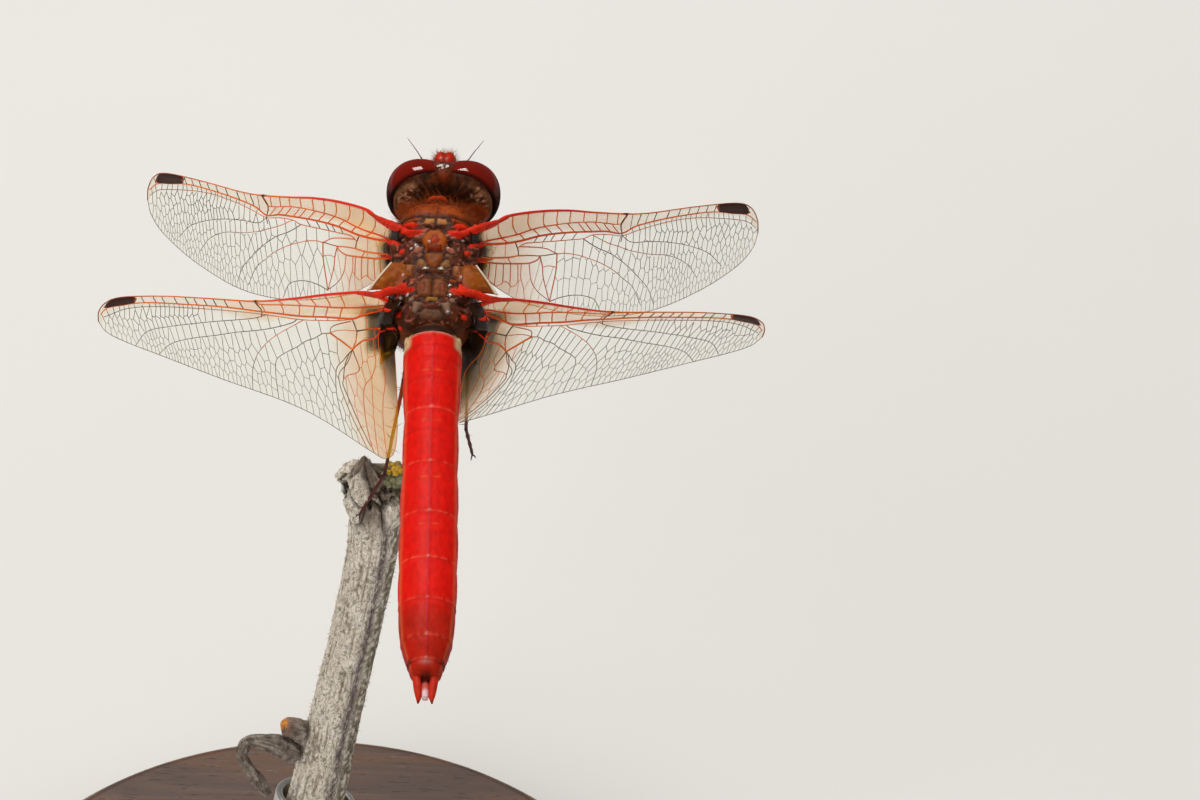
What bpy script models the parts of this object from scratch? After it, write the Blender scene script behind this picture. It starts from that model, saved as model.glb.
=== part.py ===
"""Life-size model of a male cardinal meadowhawk dragonfly, perched on a twig.

The insect, its perch and the display stand are built at real size.  Lengths in
this file are millimetres and angles are degrees; MM turns a length into metres.
World axes: +Z up, the insect faces +Y and its right side is towards +X.
The origin is the middle of the underside of the stand's base.
Most of the insect is drawn in its own frame, centred in the thorax, with +Y
along the body towards the head and +Z out through the back.
"""
import math

import bmesh
import bpy
from mathutils import Matrix, Vector

MM = 0.001

# Pose
BODY_ORIGIN = Vector((6.3, 6.2, 48.0))
BODY_PITCH = 15.0
HEAD_CENTRE = Vector((0.27, 7.0, 0.3))
HEAD_NOD = -12.0
ABDOMEN_ROOT = Vector((0.16, -4.9, 1.6))
ABDOMEN_RAISE = -4.5
ABDOMEN_YAW = 1.4

# Head, in its own frame
HEAD_WIDTH = 6.4
HEAD_DEPTH = 3.3
HEAD_HEIGHT = 4.1
EYE_SQUARENESS = 2.4
EYE_REAR = -1.15
CAPSULE_REAR = -0.9
JOINT_GAP = 0.1

# Wings
WING_THICKNESS = 0.5
FOREWING_LENGTH = 28.7
HINDWING_LENGTH = 28.0
WING_STATIONS = 15
WING_CHORD_STEPS = 4
ROOT_TWIST_REACH = 0.38

# Outlines as fractions of the wing's length: (out along the span, back from the hinge line)
FOREWING_FRONT = ((0.0, 0.010), (0.04, -0.010), (0.15, -0.018), (0.30, -0.012), (0.515, 0.008), (0.75, 0.0),
                  (0.93, 0.006), (0.985, 0.030), (1.0, 0.072))
FOREWING_BACK = ((0.0, 0.035), (0.06, 0.11), (0.20, 0.170), (0.42, 0.204), (0.62, 0.213), (0.80, 0.180),
                 (0.93, 0.135), (0.985, 0.103), (1.0, 0.072))
HINDWING_FRONT = ((0.0, 0.0), (0.06, -0.006), (0.15, 0.0), (0.42, 0.020), (0.65, 0.018), (0.88, 0.023),
                  (0.975, 0.041), (1.005, 0.078))
HINDWING_BACK = ((0.0, 0.06), (0.018, 0.20), (0.05, 0.285), (0.12, 0.318), (0.24, 0.284), (0.42, 0.230),
                 (0.62, 0.188), (0.80, 0.147), (0.93, 0.117), (0.985, 0.098), (1.005, 0.078))

# Each wing: hinge, forward sweep, droop, twist of the outer blade, twist at the root, outward camber
# there, and how much of its breadth the root keeps
WINGS = {
    "wing_fore_left": (Vector((-2.3, 2.8, 2.9)), 48.5, 36.1, 68.0, 60.0, 0.3, 1.0),
    "wing_fore_right": (Vector((2.3, 2.8, 2.9)), 45.7, 36.2, 64.0, 58.0, 0.3, 1.0),
    "wing_hind_left": (Vector((-2.3, -2.25, 2.35)), 37.0, 36.5, 71.0, 62.0, 0.9, 1.0),
    "wing_hind_right": (Vector((2.6, -2.25, 2.35)), 39.6, 37.7, 89.0, 84.0, 1.4, 0.9),
}

# Thorax stations: place along the body, half width, top, bottom
THORAX = (
    (-4.05, 1.35, 2.65, -0.1),
    (-3.6, 1.70, 2.85, -0.7),
    (-2.6, 2.10, 3.00, -2.1),
    (-1.4, 2.40, 3.05, -3.2),
    (0.0, 2.55, 3.05, -3.9),
    (1.6, 2.60, 3.05, -4.1),
    (2.8, 2.50, 2.90, -4.05),
    (3.8, 2.15, 2.25, -3.8),
    (4.5, 1.70, 1.60, -3.2),
    (4.9, 1.20, 1.00, -2.4),
    (5.05, 0.70, 0.30, -1.6),
)
# Prothorax stations, in the same order of numbers
PROTHORAX = (
    (5.15, 0.85, 1.3, -1.5),
    (5.28, 1.1, 1.85, -1.7),
    (5.5, 1.05, 1.5, -1.5),
    (5.66, 0.8, 0.7, -1.0),
)
# Abdomen: ends of its ten segments along its axis, and half widths and half heights there
SEGMENT_ENDS = (-0.75, 0.0, 2.1, 5.6, 9.5, 13.1, 16.4, 19.3, 21.75, 23.25, 24.0)
SEGMENT_WIDTHS = (1.25, 1.52, 1.55, 1.44, 1.47, 1.52, 1.53, 1.50, 1.33, 1.02, 0.80)
SEGMENT_HEIGHTS = (1.10, 1.40, 1.50, 1.25, 1.18, 1.20, 1.22, 1.20, 1.08, 0.85, 0.68)
KEEL = 0.07

# Legs, in the body's frame: hip, knee, ankle, toe
LEGS = {
    "leg_fore_left": ((-0.9, 3.9, -4.5), (-3.0, 4.5, -2.3), (-2.65, 5.3, 1.2), (-2.15, 5.35, 2.7)),
    "leg_fore_right": ((0.9, 3.9, -4.5), (3.0, 4.5, -2.3), (2.65, 5.3, 1.2), (2.15, 5.35, 2.7)),
    "leg_mid_left": ((-1.1, 2.5, -4.6), (-0.8, 1.2, -9.9), (-0.75, -3.9, -9.5), (-0.85, -5.1, -10.9)),
    "leg_mid_right": ((0.95, 2.6, -4.6), (0.1, 1.2, -10.7), (-0.55, -4.0, -11.4), (-0.95, -5.1, -12.8)),
    "leg_hind_left": ((-1.2, 0.9, -4.5), (-1.5, -3.1, -3.7), (-2.45, -6.25, -8.3), (-3.8, -7.55, -10.4)),
    "leg_hind_right": ((1.25, 0.8, -4.5), (1.9, 2.6, -8.6), (1.86, 1.25, -13.6), (2.27, 0.7, -15.3)),
}
FEMUR_RADII = (0.42, 0.30)
TIBIA_RADII = (0.28, 0.25)
TARSUS_RADII = (0.25, 0.25)
KNEE_GAP = 0.32

# Perch: a broken twig, in world axes: centre of each station and its radius
TWIG = (
    ((2.9, 4.25, 38.3), 0.55),
    ((3.0, 4.15, 37.8), 1.25),
    ((3.05, 4.0, 37.0), 1.85),
    ((3.1, 3.9, 36.4), 1.9),
    ((3.25, 3.7, 35.4), 1.65),
    ((3.3, 3.45, 34.1), 1.5),
    ((3.1, 3.0, 31.7), 1.42),
    ((2.2, 2.07, 26.6), 1.40),
    ((1.2, 1.14, 21.45), 1.45),
    ((0.2, 0.2, 16.2), 1.62),
    ((-0.05, -0.05, 15.0), 1.65),
)
TWIG_SIDES = 14
SHOOT = ((-0.9, 0.2, 19.6), (-1.8, 0.0, 20.3), (-2.8, 0.0, 20.6), (-3.65, 0.0, 20.5), (-4.0, -0.3, 19.9),
         (-3.6, -0.7, 19.2), (-3.0, -1.1, 18.6), (-2.4, -1.6, 18.0))
SHOOT_RADII = (0.55, 0.62, 0.42, 0.34, 0.32, 0.32, 0.38, 0.22)
STUB = ((-0.5, 0.4, 21.1), (-1.2, 0.35, 21.4), (-1.75, 0.3, 21.3))
STUB_RADII = (0.62, 0.58, 0.40)

# Display stand
BASE_RADIUS = 20.0
BASE_HEIGHT = 5.0
BASE_BEVEL = 0.9
BASE_SIDES = 48
ROD_RADIUS = 0.8
FERRULE_RADIUS = 2.35
FERRULE_HEIGHT = 2.6
FERRULE_WALL = 0.4
FERRULE_FLOOR = 1.0
FERRULE_SIDES = 28
ROD_BEND_DROP = 3.5
ROD_FOOT_SHIFT = 2.0

MATERIALS = {}


def clear_scene():
    """Remove every object of the starting scene."""
    for item in list(bpy.data.objects):
        bpy.data.objects.remove(item, do_unlink=True)


def make_material(name, colour, roughness, metallic=0.0):
    """A Principled material in one plain finish."""
    material = bpy.data.materials.new(name)
    material.use_nodes = True
    shader = material.node_tree.nodes["Principled BSDF"]
    shader.inputs["Base Color"].default_value = (*colour, 1.0)
    shader.inputs["Roughness"].default_value = roughness
    shader.inputs["Metallic"].default_value = metallic
    return material


def make_empty(name, location, rotation, parent=None):
    """A frame that parts are drawn in, turned by degrees about X, Y and Z."""
    empty = bpy.data.objects.new(name, None)
    empty.location = location * MM
    empty.rotation_euler = [math.radians(angle) for angle in rotation]
    empty.parent = parent
    bpy.context.collection.objects.link(empty)
    return empty


def finish_object(name, mesh_data, material, parent):
    """Scale a mesh drawn in millimetres to metres and put it in the scene as one part."""
    bmesh.ops.recalc_face_normals(mesh_data, faces=mesh_data.faces)
    mesh = bpy.data.meshes.new(name)
    mesh_data.to_mesh(mesh)
    mesh_data.free()
    mesh.transform(Matrix.Scale(MM, 4))
    mesh.materials.append(material)
    mesh.shade_smooth()
    mesh.set_sharp_from_angle(angle=math.radians(38.0))
    part = bpy.data.objects.new(name, mesh)
    part.parent = parent
    bpy.context.collection.objects.link(part)
    return part


def loft(name, rings, material, parent=None):
    """Join rings of equally many points into one closed tube with flat ends."""
    mesh_data = bmesh.new()
    loops = [[mesh_data.verts.new(point) for point in ring] for ring in rings]
    count = len(rings[0])
    for near, far in zip(loops, loops[1:]):
        for i in range(count):
            j = (i + 1) % count
            mesh_data.faces.new((near[i], near[j], far[j], far[i]))
    mesh_data.faces.new(loops[0])
    mesh_data.faces.new(reversed(loops[-1]))
    return finish_object(name, mesh_data, material, parent)


def signed_power(value, power):
    """Raise the size of a number to a power and keep its sign."""
    return math.copysign(abs(value) ** power, value)


def body_ring(place, half_width, top, bottom, sides=22, upper=3.0, lower=2.3, keel=0.0):
    """A cross-section of the body: a squarish oval with its own crown and belly."""
    middle = (top + bottom) / 2
    half_height = (top - bottom) / 2
    ring = []
    for i in range(sides):
        angle = 2 * math.pi * i / sides
        square = upper if math.sin(angle) > 0 else lower
        x = half_width * signed_power(math.cos(angle), 2 / square)
        z = middle + half_height * signed_power(math.sin(angle), 2 / square)
        if math.sin(angle) > 0:
            z += keel * math.exp(-(x / 0.3) ** 2)
        ring.append(Vector((x, place, z)))
    return ring


def curve_through(points, steps):
    """Points along a smooth curve that passes through all the given ones."""
    points = [Vector(point) for point in points]
    ends = [2 * points[0] - points[1], *points, 2 * points[-1] - points[-2]]
    result = []
    for a, b, c, d in zip(ends, ends[1:], ends[2:], ends[3:]):
        for step in range(steps):
            t = step / steps
            bend = (2 * b, c - a, 2 * a - 5 * b + 4 * c - d, 3 * b - 3 * c + d - a)
            result.append(0.5 * (bend[0] + t * bend[1] + t * t * bend[2] + t ** 3 * bend[3]))
    result.append(points[-1])
    return result


def tube_rings(path, radii, sides):
    """Circles of the given radii, square to the path they stand on."""
    rings = []
    side = None
    for i, point in enumerate(path):
        along = (path[min(i + 1, len(path) - 1)] - path[max(i - 1, 0)]).normalized()
        if side is None:
            side = along.orthogonal().normalized()
        side = (side - along * side.dot(along)).normalized()
        up = along.cross(side)
        angles = [2 * math.pi * k / sides for k in range(sides)]
        rings.append([point + radii[i] * (side * math.cos(a) + up * math.sin(a)) for a in angles])
    return rings


def tube(name, points, radii, material, parent=None, sides=8, steps=3):
    """A tapering round limb along a smooth curve through a few points."""
    path = curve_through(points, steps)
    widths = [v.x for v in curve_through([(radius, 0, 0) for radius in radii], steps)]
    return loft(name, tube_rings(path, widths, sides), material, parent)


def superellipsoid(centre, radii, squareness, sides=22, rows=12):
    """A mesh of a rounded block; squareness 2 is an ellipsoid."""
    mesh_data = bmesh.new()
    power = 2 / squareness

    def point(latitude, longitude):
        flat = signed_power(math.cos(latitude), power)
        return Vector((
            centre[0] + radii[0] * flat * signed_power(math.cos(longitude), power),
            centre[1] + radii[1] * signed_power(math.sin(latitude), power),
            centre[2] + radii[2] * flat * signed_power(math.sin(longitude), power),
        ))

    front = mesh_data.verts.new(point(math.pi / 2, 0))
    back = mesh_data.verts.new(point(-math.pi / 2, 0))
    loops = []
    for row in range(1, rows):
        latitude = -math.pi / 2 + math.pi * row / rows
        turns = [2 * math.pi * k / sides for k in range(sides)]
        loops.append([mesh_data.verts.new(point(latitude, turn)) for turn in turns])
    for i in range(sides):
        j = (i + 1) % sides
        mesh_data.faces.new((back, loops[0][i], loops[0][j]))
        mesh_data.faces.new((front, loops[-1][j], loops[-1][i]))
        for near, far in zip(loops, loops[1:]):
            mesh_data.faces.new((near[i], far[i], far[j], near[j]))
    return mesh_data


def slice_off(mesh_data, point, direction):
    """Cut away what lies on the side the direction points to, and close the cut."""
    geometry = mesh_data.verts[:] + mesh_data.edges[:] + mesh_data.faces[:]
    cut = bmesh.ops.bisect_plane(mesh_data, geom=geometry, plane_co=point, plane_no=direction,
                                 clear_outer=True, dist=1e-6)
    edges = [item for item in cut["geom_cut"] if isinstance(item, bmesh.types.BMEdge)]
    bmesh.ops.edgeloop_fill(mesh_data, edges=edges)


def combine(part, other, operation):
    """Cut one part by another solid, or join it on, with an exact Boolean."""
    modifier = part.modifiers.new(operation.title() + " " + other.name, "BOOLEAN")
    modifier.operation = operation
    modifier.object = other
    modifier.solver = "EXACT"
    other.hide_render = True
    other.display_type = "WIRE"


def cutter(name, centre, radii, squareness, parent, gap=JOINT_GAP):
    """A slightly larger copy of a rounded solid, which clears its place in a neighbour."""
    grown = [radius + gap for radius in radii]
    return finish_object(name, superellipsoid(centre, grown, squareness), MATERIALS["chitin_dark"], parent)


def build_head(insect):
    """Two wrapping compound eyes round a head capsule, with the frons, mouth, occiput and antennae."""
    head = make_empty("head_frame", HEAD_CENTRE, (HEAD_NOD, 0, 0), insect)
    capsule = ((0, -0.2, -0.45), (2.3, 1.3, 1.75), 2.3)
    frons = ((0, 1.6, 0.6), (1.15, 0.95, 0.95), 2.2)
    vertex = ((0, 1.3, 1.35), (0.6, 0.5, 0.5), 2.0)
    mouth = ((0, 1.0, -1.05), (1.35, 1.1, 1.3), 2.2)
    occiput = ((0, -0.45, 1.75), (0.6, 0.8, 0.42), 2.2)
    capsule_cut = cutter("cut_capsule", *capsule, head)
    frons_cut = cutter("cut_frons", *frons, head)
    vertex_cut = cutter("cut_vertex", *vertex, head)
    mouth_cut = cutter("cut_mouth", *mouth, head)
    occiput_cut = cutter("cut_occiput", *occiput, head)

    eye_radii = (HEAD_WIDTH / 2, HEAD_DEPTH / 2, HEAD_HEIGHT / 2)
    for side, name in ((-1, "eye_left"), (1, "eye_right")):
        shell = superellipsoid((0, 0, 0.1), eye_radii, EYE_SQUARENESS, sides=28, rows=14)
        slice_off(shell, (side * JOINT_GAP / 2, 0, 0), (-side, 0, 0))
        slice_off(shell, (0, EYE_REAR, 0), (0, -1, 0))
        eye = finish_object(name, shell, MATERIALS["eye"], head)
        for tool in (capsule_cut, mouth_cut, frons_cut, vertex_cut, occiput_cut):
            combine(eye, tool, "DIFFERENCE")

    skull = superellipsoid(*capsule)
    slice_off(skull, (0, CAPSULE_REAR, 0), (0, -1, 0))
    skull = finish_object("head_capsule", skull, MATERIALS["chitin_dark"], head)
    for tool in (mouth_cut, frons_cut, occiput_cut):
        combine(skull, tool, "DIFFERENCE")

    face = finish_object("head_frons", superellipsoid(*frons, sides=18, rows=10), MATERIALS["face_red"], head)
    bump = cutter("join_vertex", *vertex, head, gap=0.0)
    combine(face, bump, "UNION")
    jaws = finish_object("head_mouth", superellipsoid(*mouth, sides=18, rows=10), MATERIALS["face_tan"], head)
    combine(jaws, frons_cut, "DIFFERENCE")
    crown = superellipsoid(*occiput, sides=16, rows=8)
    slice_off(crown, (0, -1.1, 0), (0, -1, 0))
    finish_object("head_occiput", crown, MATERIALS["thorax"], head)

    for side, name in ((-1, "antenna_left"), (1, "antenna_right")):
        route = ((side * 1.2, 1.95, 1.4), (side * 1.6, 2.25, 1.72), (side * 2.08, 2.6, 2.05))
        tube(name, route, (0.27, 0.26, 0.25), MATERIALS["chitin_dark"], head, sides=8, steps=2)


def build_neck_and_thorax(insect):
    """The small prothorax with its raised hind lobe, and the deep box of the pterothorax."""
    rings = [body_ring(*station, sides=16, upper=2.2) for station in PROTHORAX]
    loft("prothorax", rings, MATERIALS["thorax"], insect)
    rings = [body_ring(*station, sides=24, upper=3.2) for station in THORAX]
    loft("thorax", rings, MATERIALS["thorax"], insect)


def build_abdomen(insect):
    """Ten keeled segments in a row, and the three claspers at the tip."""
    abdomen = make_empty("abdomen_frame", ABDOMEN_ROOT, (ABDOMEN_RAISE, 0, ABDOMEN_YAW), insect)
    for i in range(len(SEGMENT_ENDS) - 1):
        front, rear = SEGMENT_ENDS[i] + JOINT_GAP / 2, SEGMENT_ENDS[i + 1] - JOINT_GAP / 2
        rings = []
        for share, swell in ((0.0, 0.97), (0.12, 1.0), (0.5, 1.0), (0.9, 1.015), (1.0, 0.985)):
            width = (SEGMENT_WIDTHS[i] * (1 - share) + SEGMENT_WIDTHS[i + 1] * share) * swell
            height = (SEGMENT_HEIGHTS[i] * (1 - share) + SEGMENT_HEIGHTS[i + 1] * share) * swell
            place = -(front + (rear - front) * share)
            rings.append(body_ring(place, width, height, -0.9 * height, sides=20, upper=2.1, keel=KEEL))
        loft(f"abdomen_{i + 1:02d}", rings, MATERIALS["abdomen"], abdomen)

    tip = SEGMENT_ENDS[-1] + JOINT_GAP
    for side, name in ((-1, "cercus_left"), (1, "cercus_right")):
        route = ((side * 0.42, -tip, 0.12), (side * 0.44, -tip - 0.8, 0.16), (side * 0.42, -tip - 1.65, 0.3))
        tube(name, route, (0.28, 0.33, 0.13), MATERIALS["abdomen"], abdomen, sides=10)
    route = ((0, -tip, -0.42), (0, -tip - 0.7, -0.38), (0, -tip - 1.3, -0.25))
    tube("epiproct", route, (0.26, 0.27, 0.24), MATERIALS["abdomen"], abdomen, sides=10)


def wing_frame(side, sweep, droop):
    """The span direction of a wing, and the flat and the hanging direction square to it."""
    sweep, droop = math.radians(sweep), math.radians(droop)
    level = Vector((side * math.cos(sweep), math.sin(sweep), 0))
    down = Vector((0, 0, -1))
    span = level * math.cos(droop) + down * math.sin(droop)
    flat = Vector((side * math.sin(sweep), -math.cos(sweep), 0))
    hang = down * math.cos(droop) - level * math.sin(droop)
    return span, flat, hang


def wing_outline(points, count):
    """Points at even steps of parameter along one edge of a wing, closer together at the tip."""
    steps = 12
    curve = curve_through([(x, y, 0) for x, y in points], steps)
    reach = points[-1][0]
    result = []
    for k in range(count):
        target = reach * math.sin(math.pi / 2 * k / (count - 1))
        nearest = min(range(len(curve)), key=lambda i: abs(curve[i].x - target))
        result.append(curve[nearest])
    return result


def build_wing(name, insect):
    """A thin cambered blade, twisted towards its root, with its true outline."""
    hinge, sweep, droop, twist, root_twist, camber, breadth = WINGS[name]
    fore = "fore" in name
    side = -1 if hinge.x < 0 else 1
    length = FOREWING_LENGTH if fore else HINDWING_LENGTH
    fronts = wing_outline(FOREWING_FRONT if fore else HINDWING_FRONT, WING_STATIONS)
    backs = wing_outline(FOREWING_BACK if fore else HINDWING_BACK, WING_STATIONS)
    span, flat, hang = wing_frame(side, sweep, droop)

    def surface(out, back, across):
        ease = min(1.0, out / ROOT_TWIST_REACH)
        ease = ease * ease * (3 - 2 * ease)
        angle = math.radians(root_twist + (twist - root_twist) * ease)
        chord = flat * math.cos(angle) + hang * math.sin(angle)
        lift = span.cross(chord) * side * -1
        swell = camber * (1 - ease) * 4 * across * (1 - across)
        depth = back * (breadth + (1 - breadth) * ease)
        return hinge + span * out * length + chord * depth * length + lift * swell

    mesh_data = bmesh.new()
    rows = []
    for front, back in list(zip(fronts, backs))[:-1]:
        row = []
        for k in range(WING_CHORD_STEPS + 1):
            across = k / WING_CHORD_STEPS
            place = front.lerp(back, across)
            row.append(mesh_data.verts.new(surface(place.x, place.y, across)))
        rows.append(row)
    for near, far in zip(rows, rows[1:]):
        for k in range(WING_CHORD_STEPS):
            mesh_data.faces.new((near[k], near[k + 1], far[k + 1], far[k]))
    tip = mesh_data.verts.new(surface(fronts[-1].x, fronts[-1].y, 0.5))
    for k in range(WING_CHORD_STEPS):
        mesh_data.faces.new((rows[-1][k], rows[-1][k + 1], tip))
    wing = finish_object(name, mesh_data, MATERIALS["wing"], insect)
    plate = wing.modifiers.new("Blade thickness", "SOLIDIFY")
    plate.thickness = WING_THICKNESS * MM
    plate.offset = 0.0


def shorten(start, end, from_start, from_end):
    """Both ends of a limb after leaving room for the joints."""
    along = (end - start).normalized()
    return start + along * from_start, end - along * from_end


def build_leg(name, insect):
    """Femur, tibia and tarsus, each a tapering tube that stops short of the joint."""
    hip, knee, ankle, toe = [Vector(point) for point in LEGS[name]]
    spans = (
        ("_femur", *shorten(hip, knee, 0.0, KNEE_GAP), FEMUR_RADII),
        ("_tibia", *shorten(knee, ankle, KNEE_GAP, KNEE_GAP / 2), TIBIA_RADII),
        ("_tarsus", *shorten(ankle, toe, KNEE_GAP / 2, 0.0), TARSUS_RADII),
    )
    for suffix, start, end, radii in spans:
        middle = (start + end) / 2
        widths = (radii[0], (radii[0] + radii[1]) / 2, radii[1])
        tube(name + suffix, (start, middle, end), widths, MATERIALS["leg"], insect, steps=1)


def build_perch():
    """The broken twig with its knotted end, a short stub and a curled side shoot."""
    path = curve_through([station[0] for station in TWIG], 2)
    radii = [v.x for v in curve_through([(station[1], 0, 0) for station in TWIG], 2)]
    rings = tube_rings(path, radii, TWIG_SIDES)
    for row, ring in enumerate(rings):
        knot = max(0.0, 1 - row / 9)
        for k, point in enumerate(ring):
            turn = 2 * math.pi * k / TWIG_SIDES
            bump = 1 + 0.025 * math.sin(3 * turn + row) + knot * 0.07 * math.sin(2 * turn + 1.3 * row)
            ring[k] = path[row] + (point - path[row]) * bump
    loft("perch_twig", rings, MATERIALS["bark"])
    tube("perch_shoot", SHOOT, SHOOT_RADII, MATERIALS["bark"], steps=2)
    tube("perch_stub", STUB, STUB_RADII, MATERIALS["bark"], steps=2)


def build_stand():
    """A turned wooden disc, a short steel rod and the ferrule that grips the twig."""
    shoulder = BASE_BEVEL * 0.3
    profile = (
        (BASE_RADIUS, 0.0),
        (BASE_RADIUS, BASE_HEIGHT - BASE_BEVEL),
        (BASE_RADIUS - shoulder, BASE_HEIGHT - shoulder),
        (BASE_RADIUS - BASE_BEVEL, BASE_HEIGHT),
    )
    turns = [2 * math.pi * k / BASE_SIDES for k in range(BASE_SIDES)]
    rings = [[Vector((r * math.cos(a), r * math.sin(a), z)) for a in turns] for r, z in profile]
    loft("stand_base", rings, MATERIALS["walnut"])

    cut_end = Vector(TWIG[-1][0])
    axis = (Vector(TWIG[-2][0]) - cut_end).normalized()
    floor = cut_end - axis * JOINT_GAP
    bottom = floor - axis * FERRULE_FLOOR
    top = bottom + axis * FERRULE_HEIGHT
    outside = tube_rings([bottom, top], (FERRULE_RADIUS,) * 2, FERRULE_SIDES)
    inside = tube_rings([floor, top], (FERRULE_RADIUS - FERRULE_WALL,) * 2, FERRULE_SIDES)
    loft("stand_ferrule", outside + inside[::-1], MATERIALS["steel"])

    rod_top = bottom - axis * JOINT_GAP
    foot = rod_top - axis * ROD_FOOT_SHIFT
    foot.z = BASE_HEIGHT + JOINT_GAP
    bend = Vector((foot.x, foot.y, rod_top.z - ROD_BEND_DROP))
    tube("stand_rod", (foot, bend, rod_top), (ROD_RADIUS,) * 3, MATERIALS["steel"], sides=14, steps=5)


def main():
    clear_scene()
    MATERIALS.update({
        "chitin_dark": make_material("chitin_dark", (0.035, 0.018, 0.012), 0.4),
        "eye": make_material("eye", (0.16, 0.01, 0.008), 0.12),
        "face_red": make_material("face_red", (0.55, 0.02, 0.01), 0.4),
        "face_tan": make_material("face_tan", (0.45, 0.16, 0.07), 0.5),
        "thorax": make_material("thorax", (0.28, 0.09, 0.03), 0.55),
        "abdomen": make_material("abdomen", (0.6, 0.012, 0.006), 0.42),
        "wing": make_material("wing", (0.62, 0.55, 0.38), 0.25),
        "leg": make_material("leg", (0.09, 0.02, 0.012), 0.4),
        "bark": make_material("bark", (0.38, 0.35, 0.31), 0.9),
        "walnut": make_material("walnut", (0.09, 0.045, 0.025), 0.35),
        "steel": make_material("steel", (0.55, 0.55, 0.56), 0.3, 1.0),
    })
    insect = make_empty("insect_frame", BODY_ORIGIN, (BODY_PITCH, 0, 0))
    build_head(insect)
    build_neck_and_thorax(insect)
    build_abdomen(insect)
    for name in WINGS:
        build_wing(name, insect)
    for name in LEGS:
        build_leg(name, insect)
    build_perch()
    build_stand()


main()
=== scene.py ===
# %% [markdown]
# # A red dragonfly on its twig
# This script dresses the packed solids of a life-size cardinal meadowhawk. The solids say where the insect, its
# perch and its stand are; the cells below replace them with thin wings, veins, a relief skin, hairs and bark.
# Lengths are written in millimetres, as on a drawing, and turned to metres when a mesh is made.

# %% Load the frame
import math

import bmesh
import bpy
import numpy as np
from mathutils import Euler, Matrix, Vector, geometry, noise


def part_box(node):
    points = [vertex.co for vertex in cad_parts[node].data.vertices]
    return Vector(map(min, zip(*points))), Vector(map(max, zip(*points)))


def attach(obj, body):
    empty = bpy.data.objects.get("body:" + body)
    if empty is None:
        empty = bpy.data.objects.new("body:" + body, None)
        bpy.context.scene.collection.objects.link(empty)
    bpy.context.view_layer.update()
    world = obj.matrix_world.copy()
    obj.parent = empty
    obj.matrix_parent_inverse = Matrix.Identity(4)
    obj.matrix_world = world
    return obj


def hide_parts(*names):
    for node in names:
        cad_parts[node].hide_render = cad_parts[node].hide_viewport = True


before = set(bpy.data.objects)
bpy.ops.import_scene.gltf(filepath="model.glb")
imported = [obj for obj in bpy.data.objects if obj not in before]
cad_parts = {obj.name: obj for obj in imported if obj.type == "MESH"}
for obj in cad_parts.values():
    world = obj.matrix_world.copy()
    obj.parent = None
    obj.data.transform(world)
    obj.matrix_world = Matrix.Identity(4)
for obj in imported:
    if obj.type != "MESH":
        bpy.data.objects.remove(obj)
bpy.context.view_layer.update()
MM = 0.001

# %% [markdown]
# The insect is drawn in its own frames, as an anatomist would describe it: one for the body, centred in the
# thorax, one for the head and one for the abdomen. X is to its right, Y ahead and Z up. The body's frame is tied
# to the packed thorax, and the other two hang on the body's, so the whole insect follows its solid.

# %% The insect's frames
BODY_PITCH = 15.0
THORAX_CENTRE_OFFSET = Vector((0.0, 0.378, -0.121))
NECK_PLACE, HEAD_TURN = Vector((0.27, 7.0, 0.3)), (-12.0, 0, 0)
WAIST_PLACE, ABDOMEN_TURN = Vector((0.16, -4.9, 1.6)), (-4.5, 0, 1.4)


def middle(node):
    """The middle of a solid's box, in millimetres."""
    low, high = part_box(node)
    return (low + high) / 2 / MM


def local_frame(parent, place, turn):
    """A frame in millimetres inside another one, turned by degrees about X, Y and Z."""
    angles = [math.radians(angle) for angle in turn]
    return parent @ Matrix.Translation(place) @ Euler(angles).to_matrix().to_4x4()


WORLD = Matrix.Scale(MM, 4)
BODY_ORIGIN = middle("thorax") - THORAX_CENTRE_OFFSET
BODY = local_frame(WORLD, BODY_ORIGIN, (BODY_PITCH, 0, 0))
HEAD = local_frame(BODY, NECK_PLACE, HEAD_TURN)
ABDOMEN = local_frame(BODY, WAIST_PLACE, ABDOMEN_TURN)
print("body origin", [round(v, 2) for v in BODY_ORIGIN])

# %% [markdown]
# Everything below is built from a few plain tools: a smooth curve through points that are given, soft
# masks that say how much of something is at a place, and meshes wrapped around rows of rings.

# %% Small helpers for curves and masks


def curve_through(points, steps):
    """Points along a smooth curve through a few given ones, with the same number of steps in each span."""
    given = [np.array(point, float) for point in points]
    ends = [2 * given[0] - given[1], *given, 2 * given[-1] - given[-2]]
    path = []
    for a, b, c, d in zip(ends, ends[1:], ends[2:], ends[3:]):
        for step in range(steps):
            t = step / steps
            path.append(0.5 * (2 * b + t * (c - a) + t * t * (2 * a - 5 * b + 4 * c - d)
                               + t ** 3 * (3 * b - 3 * c + d - a)))
    path.append(given[-1])
    return np.array(path)


def smooth(low, high, value):
    """0 below low, 1 above high, and an even slope between; high may be the smaller one."""
    t = np.clip((value - low) / (high - low), 0, 1)
    return t * t * (3 - 2 * t)


def hump(value, middle, width):
    """1 at a middle, fading to 0 over about twice a width on both sides."""
    return np.exp(-((value - middle) / width) ** 2)


def dab(first, middle, width, second, middle_too, width_too):
    """A hump in two directions at once: an oval spot."""
    return np.exp(-(((first - middle) / width) ** 2 + ((second - middle_too) / width_too) ** 2))


print("a slope half-way up:", float(smooth(0, 1, 0.5)), "- a hump one width off:", round(float(hump(1, 0, 1)), 2))

# %% Small helpers for meshes


def in_world(frame_matrix, points):
    """Points drawn in one of the insect's frames, as world points in metres."""
    matrix = np.array(frame_matrix)
    return np.asarray(points, float) @ matrix[:3, :3].T + matrix[:3, 3]


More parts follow.
